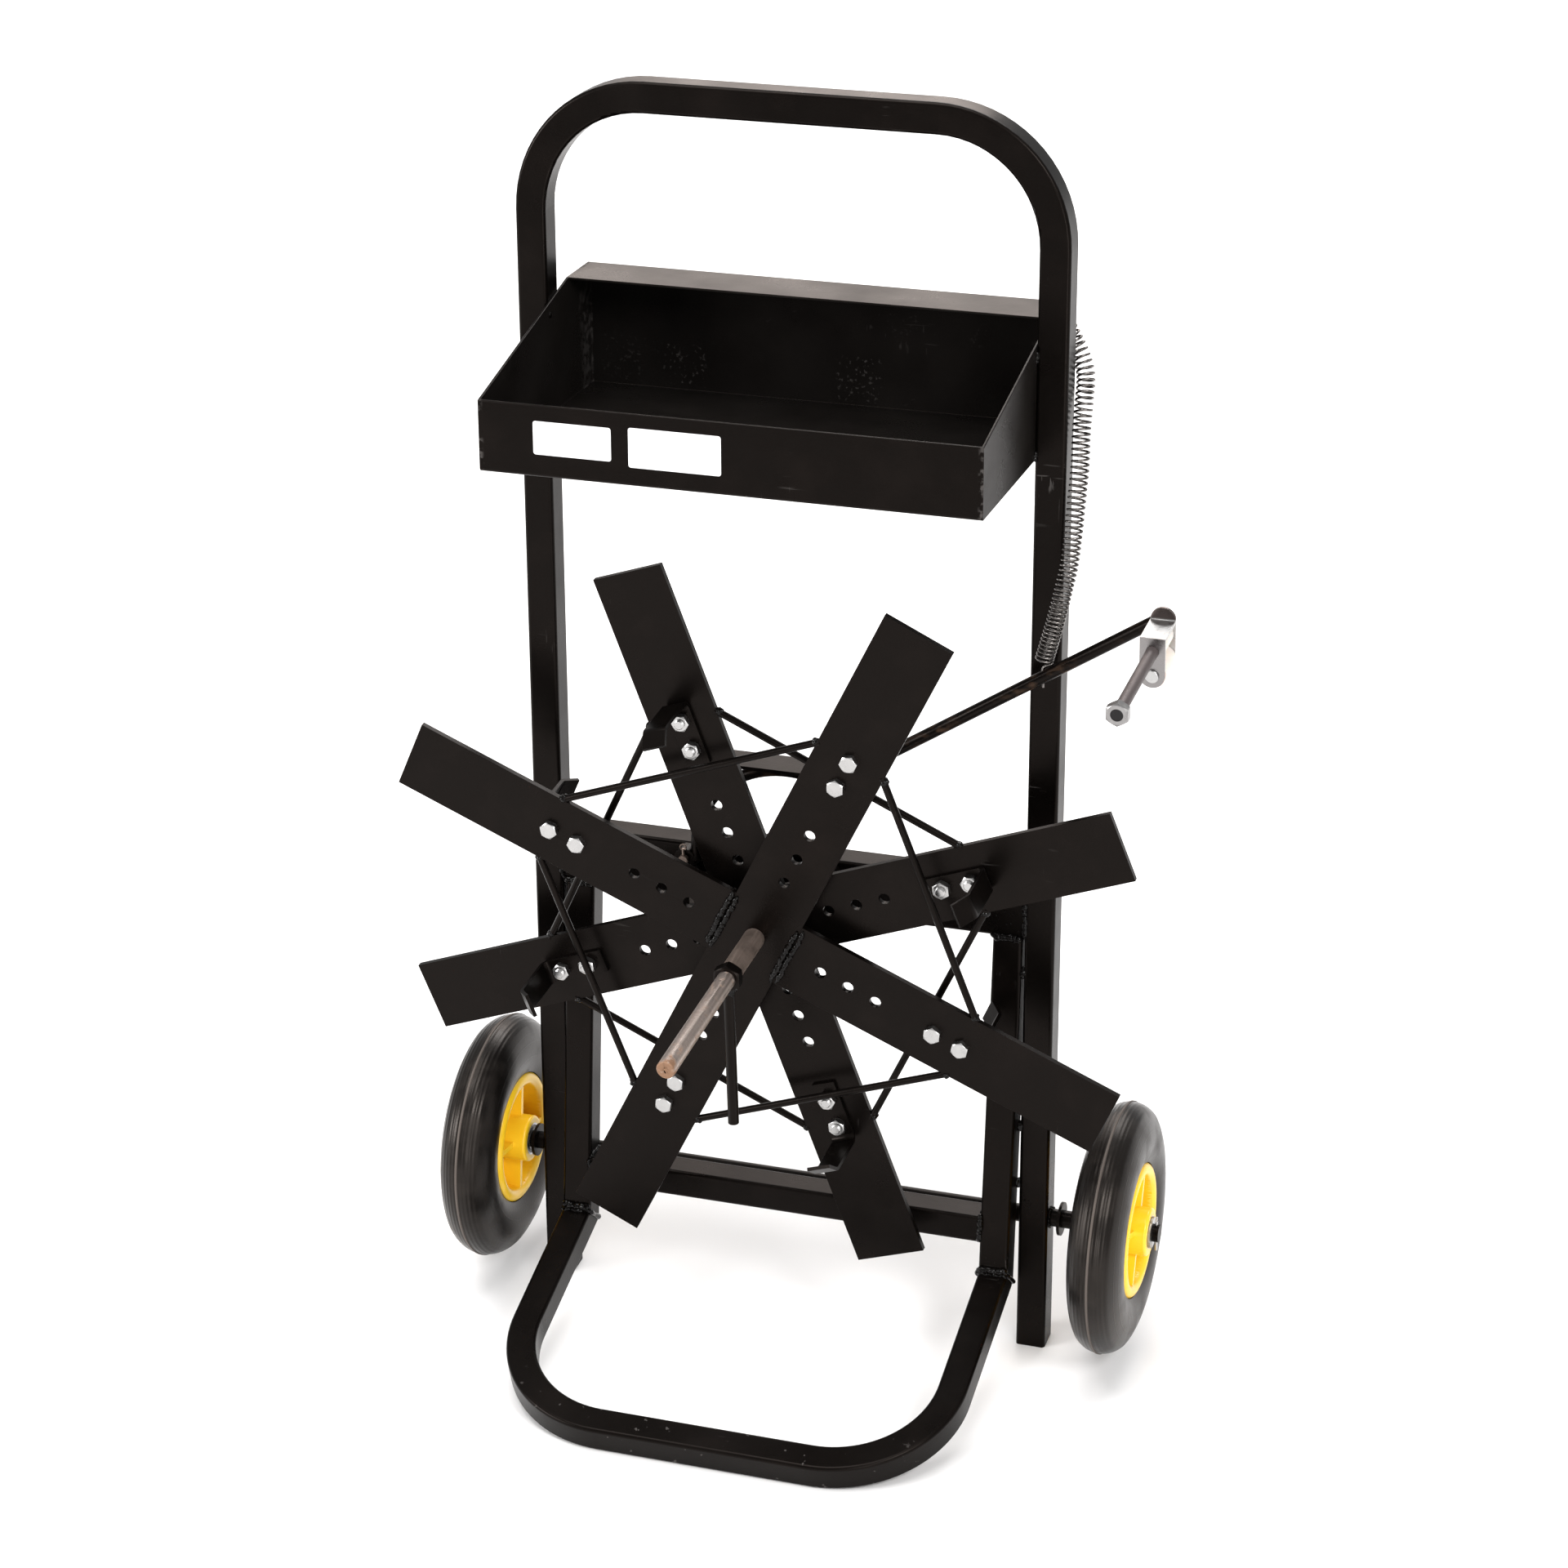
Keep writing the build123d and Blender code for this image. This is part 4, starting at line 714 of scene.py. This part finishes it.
def thread(length):
    """A screw thread along Z, cut flat at both ends, chamfered and centre-marked at the first."""
    turn = thread_turn()
    data = bpy.data.meshes.new("turn")
    turn.to_mesh(data)
    turn.free()
    mesh = bmesh.new()
    for _ in range(math.ceil(length / THREAD_PITCH) + 4):
        bmesh.ops.translate(mesh, verts=mesh.verts, vec=(0, 0, THREAD_PITCH / 1000))
        mesh.from_mesh(data)
    bpy.data.meshes.remove(data)
    bmesh.ops.translate(mesh, verts=mesh.verts, vec=(0, 0, -2 * THREAD_PITCH / 1000))
    bmesh.ops.remove_doubles(mesh, verts=mesh.verts, dist=2e-6)
    for end, way in ((0.0, -1), (length / 1000, 1)):
        geometry = mesh.verts[:] + mesh.edges[:] + mesh.faces[:]
        bmesh.ops.bisect_plane(mesh, geom=geometry, dist=1e-7, plane_co=(0, 0, end), plane_no=(0, 0, way),
                               clear_outer=True)
    bmesh.ops.holes_fill(mesh, edges=[edge for edge in mesh.edges if edge.is_boundary], sides=0)
    for vert in mesh.verts:
        radius = math.hypot(vert.co.x, vert.co.y)
        limit = (SPINDLE_RADIUS - TIP_CHAMFER) / 1000 + vert.co.z
        if radius > limit:
            vert.co.x *= limit / radius
            vert.co.y *= limit / radius
    smooth(mesh)
    front = min(mesh.faces, key=lambda face: face.calc_center_median().z + (len(face.verts) < 9))
    bmesh.ops.inset_region(mesh, faces=[front], thickness=(SPINDLE_RADIUS - TIP_CHAMFER - TIP_MARK) / 1000)
    mark = TIP_MARK_DEPTH / 1000
    bmesh.ops.inset_region(mesh, faces=[front], thickness=mark, depth=-mark)
    return mesh


spindle_low, spindle_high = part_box("spindle")
spindle_front = Vector((0, spindle_low.y, SPINDLE_Z / 1000))
thread_length = (at(0, REAR_FRONT - 1.0, 0).y - spindle_low.y) * 1000
spindle_mesh = copies(thread(thread_length), [(spindle_front, 0.0)], 1)
plain_length = (spindle_high.y - spindle_low.y) * 1000
plain_outline = [(0, thread_length), (SPINDLE_RADIUS, thread_length), (SPINDLE_RADIUS, plain_length - 1),
                 (SPINDLE_RADIUS - 1, plain_length), (0, plain_length)]
shank_mesh = copies(turned(plain_outline, HEX_STEPS), [(spindle_front, 0.0)], 1)
shank_data = bpy.data.meshes.new("shank")
shank_mesh.to_mesh(shank_data)
shank_mesh.free()
spindle_mesh.from_mesh(shank_data)
bpy.data.meshes.remove(shank_data)
stand_in("spindle_threaded", "spindle", spindle_mesh, 40)


# Welds

BEAD_STEP = 0.0010
BEAD_SHIFT = 0.00026
BEAD_NOISE = 330
BLOB_NOISE = 420
BEAD_SIDES = 10


def bead(mesh, start, end, size):
    """A lumpy weld bead between two points in metres, of a size in millimetres."""
    run = end - start
    count = max(int(run.length / BEAD_STEP), 5)
    seed = random.uniform(0, 50)
    points = []
    radii = []
    for step in range(count + 1):
        share = step / count
        place = start + run * share
        rough = Vector((seed, place.x * BEAD_NOISE, place.z * BEAD_NOISE + place.y * BEAD_NOISE))
        shift = noise.noise_vector(rough) * size * BEAD_SHIFT
        lump = 0.78 + 0.5 * abs(noise.noise(rough * 1.9))
        taper = min(1.0, 0.45 + 6 * min(share, 1 - share))
        points.append(place + shift)
        radii.append(size * 0.0005 * lump * taper)
    tube(mesh, points, radii, BEAD_SIDES)


def blob(mesh, place, size):
    """A lump of weld at a point, of a width in millimetres."""
    made = bmesh.ops.create_icosphere(mesh, subdivisions=3, radius=size * 0.0005,
                                      matrix=Matrix.Translation(place))
    seed = random.uniform(0, 50)
    for vert in made["verts"]:
        out = vert.co - place
        lump = noise.noise(out * BLOB_NOISE + Vector((seed, seed, 0)))
        vert.co = place + out * (1 + 0.45 * lump)


def spatter(mesh, place, reach, count, axis):
    """Small drops of weld round a place on a face across one axis."""
    for _ in range(count):
        shift = Vector([random.uniform(-reach, reach) for _ in range(3)]) / 1000
        shift[axis] = 0.0
        size = random.uniform(0.7, 1.7)
        bmesh.ops.create_icosphere(mesh, subdivisions=1, radius=size * 0.0005,
                                   matrix=Matrix.Translation(place + shift))


def cross_welds(front_y, angle, skew):
    """Two rows of bead where each half bar meets the long bar, front and back, and lumps on the braces."""
    mesh = bmesh.new()
    half = BAR_WIDTH / 2
    for side in (-1, 1):
        for face in (front_y - 0.3, front_y + BAR_THICK + 0.3):
            for row, start, end in ((-2.2, 1.0, 4.0), (2.6, 3.0, 1.0)):
                aside = side * (half + row)
                first = on_cross(face, angle, -half + start, aside)
                last = on_cross(face, angle, half - end, aside)
                bead(mesh, first, last, 5.4)
    angles = [angle, angle + 90 + skew, angle + 180, angle + 270 + skew]
    for turn in angles:
        for aside in (-half, half):
            blob(mesh, on_cross(front_y + BAR_THICK / 2, turn, BRACE_ALONG, aside * 1.03), 7.0)
    return mesh


def frame_welds():
    """The beads and tacks that hold the frame together."""
    mesh = bmesh.new()
    post_front = BAR_FRONT - (BAR_BOTTOM - LOWER_BAR) * math.tan(POST_LEAN)
    ring_radius = AXLE_RADIUS + 0.5
    for side in (-1, 1):
        inner = side * POST_INSIDE
        outer = side * POST_OUTSIDE
        leg = side * LEG_INSIDE
        outside = side * LEG_OUTSIDE
        bead(mesh, at(inner, BAR_FRONT, BAR_BOTTOM), at(outer, BAR_FRONT, BAR_BOTTOM), 8.0)
        bead(mesh, at(inner, BAR_FRONT, BAR_BOTTOM), at(inner, BAR_FRONT + TUBE, BAR_BOTTOM), 6.0)
        bead(mesh, at(leg, BAR_FRONT + 0.5, BAR_BOTTOM), at(leg, BAR_FRONT + 3.0, BAR_TOP), 6.0)
        bead(mesh, at(leg, BAR_FRONT + 24, BAR_BOTTOM), at(leg, BAR_FRONT + 24, BAR_TOP), 6.0)
        bar_low = LOWER_BAR - 12
        bar_high = LOWER_BAR + 12
        bead(mesh, at(inner, post_front + 1, bar_low), at(inner, post_front + 1, bar_high), 6.0)
        bead(mesh, at(inner, post_front, bar_high), at(inner, post_front + 22, bar_high), 5.0)
        for height in (345.0, 205.0, 152.0):
            front = BAR_FRONT - (BAR_BOTTOM - height) * math.tan(POST_LEAN)
            depth = max(front + 4, height * math.tan(LEAN) + 4)
            blob(mesh, at(side * (POST_OUTSIDE + 1), depth, height), 9.0)
            blob(mesh, at(side * (POST_OUTSIDE + 1), depth + 5, height - 5), 7.0)
        for up in (867.0, 787.0):
            bead(mesh, on_leg(leg, 0.3, up - 4), on_leg(leg, 0.3, up + 4), 6.5)
        turns = [2 * math.pi * step / 14 for step in range(15)]
        ring = [Vector((outside / 1000, axle.y + ring_radius / 1000 * math.cos(turn),
                        axle.z + ring_radius / 1000 * math.sin(turn))) for turn in turns]
        for start, end in zip(ring, ring[1:]):
            bead(mesh, start, end, 3.6)
        spatter(mesh, at(side * 212, 130 * math.tan(LEAN), 130), 9.0, 16, 1)
        spatter(mesh, at(outer - side * 12, BAR_FRONT - 0.2, 388), 11.0, 10, 1)
    return mesh


def mitre_welds():
    """The beads round the joints between the posts and the foot loop."""
    mesh = bmesh.new()
    post_run = math.tan(POST_LEAN)
    rise = math.tan(FOOT_SLOPE)
    top_z = TUBE * math.cos(FOOT_SLOPE)
    inner_z = (top_z + (BAR_FRONT + FOOT_REACH - BAR_BOTTOM * post_run) * rise) / (1 - post_run * rise)
    inner_y = BAR_FRONT - (BAR_BOTTOM - inner_z) * post_run
    for side in (-1, 1):
        inner = side * POST_INSIDE
        outer = side * POST_OUTSIDE
        for lift in (0.0, 3.5):
            bead(mesh, at(inner, inner_y, inner_z + lift), at(outer, inner_y, inner_z + lift), 7.0)
        for x in (inner, outer):
            bead(mesh, at(x, inner_y, inner_z), at(x, inner_y + 21, inner_z - 19), 5.5)
    return mesh


def arm_welds():
    """The welds on the swing arm: at its boss, its elbow, its strip and its bracket."""
    mesh = bmesh.new()
    blob(mesh, at(-79, ARM_Y, 419), 9.0)
    blob(mesh, at(-80, ARM_Y, 410), 8.0)
    blob(mesh, at(ARM_ROOT_X, ARM_Y, ARM_ROOT_Z), 12.5)
    for x in (-18.0, 10.0):
        bead(mesh, at(x - 8, ARM_Y + 4.5, 509), at(x + 8, ARM_Y + 4.5, 509), 5.0)
    bead(mesh, at(BRACKET_X - 10, ARM_Y - 4.5, BRACKET_Z - 1.5),
         at(BRACKET_X + 4, ARM_Y - 4.5, BRACKET_Z + 7.5), 4.0)
    return mesh


def nut_weld():
    """The lump that joins the handle rod to the spindle nut."""
    mesh = bmesh.new()
    blob(mesh, at(0, FRONT_FRONT - 66, SPINDLE_Z - 11), 12.0)
    return mesh


for name, mesh, body in (
    ("rear_cross_welds", cross_welds(REAR_FRONT, REAR_ANGLE, REAR_SKEW), "reel"),
    ("front_cross_welds", cross_welds(FRONT_FRONT, FRONT_ANGLE, FRONT_SKEW), "front_cross"),
    ("frame_welds", frame_welds(), "frame"),
    ("foot_welds", mitre_welds(), "frame"),
    ("arm_welds", arm_welds(), "swing_arm"),
    ("nut_weld", nut_weld(), "clamp_nut"),
):
    piece(name, smooth(mesh), weld_black, body)


# Spring

WIRE = 1.9
COIL_RADIUS = 6.6
CLOSE_PITCH = 3.4
OPEN_PITCH = 4.7
CLOSE_SHARE = 0.3
SPRING_RISE = 250.0
SPRING_SEAT = 12.0
STUD_RADIUS = 3.0
STUD_ABOVE = 9.96
STUD_BEHIND = 0.86
STEPS_PER_TURN = 24
WIRE_SIDES = 8
HOOK_START = -20
HOOK_STEP = 11
HOOK_POINTS = 19
HOOK_TAIL = 0.0032
FOOT_BELOW = 4.0
FOOT_ABOVE = 8.0
# The spring's centre line: out from the leg's outside, back from its front, and a share of the spring's rise
ROUTE = [
    (-8.4, -23.7, 0.0), (0.5, -24.3, 0.136), (5.5, -20.3, 0.240), (8.6, -13.1, 0.336), (10.0, -0.7, 0.528),
    (10.2, 4.7, 0.612), (9.0, 11.4, 0.708), (8.4, 19.9, 0.788), (6.6, 30.9, 0.856), (1.0, 37.2, 0.908),
    (-5.5, 39.8, 0.952), (-12.0, 40.0, 1.0),
]


def smooth_line(points, steps):
    """Points on a smooth curve through the given points."""
    line = []
    for index in range(len(points) - 1):
        before = points[max(index - 1, 0)]
        first = points[index]
        second = points[index + 1]
        after = points[min(index + 2, len(points) - 1)]
        for step in range(steps):
            share = step / steps
            square = share * share
            cube = square * share
            line.append(0.5 * (2 * first + (second - before) * share
                               + (2 * before - 5 * first + 4 * second - after) * square
                               + (3 * first - before - 3 * second + after) * cube))
    line.append(points[-1])
    return line


def coil_points(line):
    """Points of the coil round a centre line: close turns at the bottom and open turns above."""
    travelled = [0.0]
    for first, second in zip(line, line[1:]):
        travelled.append(travelled[-1] + (second - first).length)
    coil = []
    turn = 0.5
    index = 0
    place = 0.0
    while place < travelled[-1]:
        while index < len(line) - 2 and travelled[index + 1] < place:
            index += 1
        share = (place - travelled[index]) / (travelled[index + 1] - travelled[index])
        middle = line[index].lerp(line[index + 1], share)
        run = (line[index + 1] - line[index]).normalized()
        across = (Vector((1, 0, 0)) - run * run.x).normalized()
        spoke = across * math.cos(2 * math.pi * turn) + run.cross(across) * math.sin(2 * math.pi * turn)
        coil.append(middle + spoke * COIL_RADIUS / 1000)
        opened = min(max((place / travelled[-1] - CLOSE_SHARE) / CLOSE_SHARE + 0.5, 0.0), 1.0)
        pitch = (CLOSE_PITCH + (OPEN_PITCH - CLOSE_PITCH) * opened) / 1000
        place += pitch / STEPS_PER_TURN
        turn += 1 / STEPS_PER_TURN
    return coil


def spring_points():
    """The wire's centre line: a straight foot through the arm, the coils, and a hook over the stud."""
    seat_x = LEG_OUTSIDE + ROUTE[0][0]
    seat_z = ARM_ROOT_Z + (seat_x - ARM_ROOT_X) * ARM_SLOPE
    route = []
    for out, back, share in ROUTE:
        height = seat_z + SPRING_SEAT + share * SPRING_RISE
        route.append(at(LEG_OUTSIDE + out, height * math.tan(LEAN) + back, height))
    route[0] = at(seat_x, ARM_Y, seat_z + SPRING_SEAT)
    coil = coil_points(smooth_line(route, 120))
    lifts = (-ARM_RADIUS - FOOT_BELOW, 0.0, FOOT_ABOVE)
    foot = [at(seat_x, ARM_Y, seat_z + lift) for lift in lifts]
    stud = route[-1] + Vector((0, STUD_BEHIND, STUD_ABOVE)) / 1000
    loop = (STUD_RADIUS + WIRE / 2 + 0.3) / 1000
    hook = []
    for step in range(HOOK_POINTS):
        turn = math.radians(HOOK_START + step * HOOK_STEP)
        hook.append(stud + Vector((loop * math.cos(turn), 0, loop * math.sin(turn))))
    hook.append(hook[-1] + Vector((0, 0, -HOOK_TAIL)))
    body = coil[STEPS_PER_TURN // 2:-STEPS_PER_TURN // 2]
    return smooth_line(foot + body[:1], 8)[:-1] + body + smooth_line([body[-1]] + hook, 3)[1:]


spring_mesh = bmesh.new()
wire_line = spring_points()
tube(spring_mesh, wire_line, [WIRE / 2000] * len(wire_line), WIRE_SIDES)
spring = piece("spring_coils", smooth(spring_mesh), spring_steel)
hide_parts("tension_spring")
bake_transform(spring)


# Plain labels on the tray's front wall

LABEL_THICK = 0.25
LABEL_CORNER = 2.0


def label(name, left, right, bottom, top):
    """A plain blank label on the tray's front wall."""
    mesh = bmesh.new()
    corners = [(left, bottom), (right, bottom), (right, top), (left, top)]
    mesh.faces.new([mesh.verts.new(on_leg(x, TRAY_FRONT - LABEL_THICK, up)) for x, up in corners])
    bmesh.ops.bevel(mesh, geom=mesh.verts[:], offset=LABEL_CORNER / 1000, offset_type="OFFSET", segments=4,
                    profile=0.5, affect="VERTICES", material=-1)
    made = bmesh.ops.extrude_face_region(mesh, geom=mesh.faces[:])
    lift = on_leg(0, LABEL_THICK, 0) - on_leg(0, 0, 0)
    back = [item for item in made["geom"] if isinstance(item, bmesh.types.BMVert)]
    bmesh.ops.translate(mesh, verts=back, vec=lift)
    return piece(name, mesh, label_paper, "frame")


label("blank_label_left", -155.0, -92.0, 801.7, 828.2)
label("blank_label_right", -78.0, -4.0, 798.6, 830.0)


# Stage

floor_mesh = bmesh.new()
bmesh.ops.create_grid(floor_mesh, x_segments=1, y_segments=1, size=20.0)
floor_data = bpy.data.meshes.new("floor")
floor_mesh.to_mesh(floor_data)
floor_mesh.free()
floor = bpy.data.objects.new("floor", floor_data)
bpy.context.scene.collection.objects.link(floor)
floor_finish = bpy.data.materials.new("pale floor")
floor_finish.use_nodes = True
floor_shader = floor_finish.node_tree.nodes["Principled BSDF"]
floor_shader.inputs["Base Color"].default_value = (0.92, 0.91, 0.905, 1)
floor_shader.inputs["Roughness"].default_value = 0.9
floor_shader.inputs["Specular IOR Level"].default_value = 0.1
floor_data.materials.append(floor_finish)


def area_light(name, place, target, width, height, power, colour=(1.0, 1.0, 1.0)):
    """A soft flat light aimed at a point."""
    lamp = bpy.data.lights.new(name, "AREA")
    lamp.shape = "RECTANGLE"
    lamp.size = width
    lamp.size_y = height
    lamp.energy = power
    lamp.color = colour
    made = bpy.data.objects.new(name, lamp)
    made.location = place
    made.rotation_euler = (Vector(target) - Vector(place)).to_track_quat("-Z", "Y").to_euler()
    bpy.context.scene.collection.objects.link(made)
    return made


WARM = (1.0, 0.86, 0.78)
area_light("right", (2.4, -2.0, 2.9), (0, 0, 0.5), 1.1, 1.1, 86)
area_light("left", (-2.9, -2.0, 1.5), (0, 0, 0.5), 1.2, 1.2, 85)
area_light("above", (-0.6, -0.4, 4.2), (0, 0.2, 0.0), 2.4, 2.4, 120)
area_light("back", (-0.9, 3.0, 1.75), (0, 0.2, 0.9), 2.0, 0.7, 17, WARM)
area_light("wheel fill", (1.3, -2.4, 0.7), (-0.25, 0.0, 0.15), 0.7, 0.7, 16)
area_light("far floor", (0.2, 4.5, 4.0), (0.2, 5.2, 0.0), 3.0, 3.0, 220)

world = bpy.data.worlds.new("studio")
bpy.context.scene.world = world
world.use_nodes = True
backdrop = world.node_tree.nodes["Background"]
backdrop.inputs["Color"].default_value = (1.0, 1.0, 1.0, 1)
backdrop.inputs["Strength"].default_value = 0.55
bpy.context.scene.view_settings.view_transform = "Standard"

camera_data = bpy.data.cameras.new("camera")
camera_data.lens = 91.5
camera_data.sensor_width = 36.0
camera_data.clip_end = 60.0
camera = bpy.data.objects.new("camera", camera_data)
camera.location = (0.9264, -2.6507, 1.9494)
camera.rotation_euler = (math.radians(63.219), math.radians(1.539), math.radians(17.948))
bpy.context.scene.collection.objects.link(camera)
bpy.context.scene.camera = camera
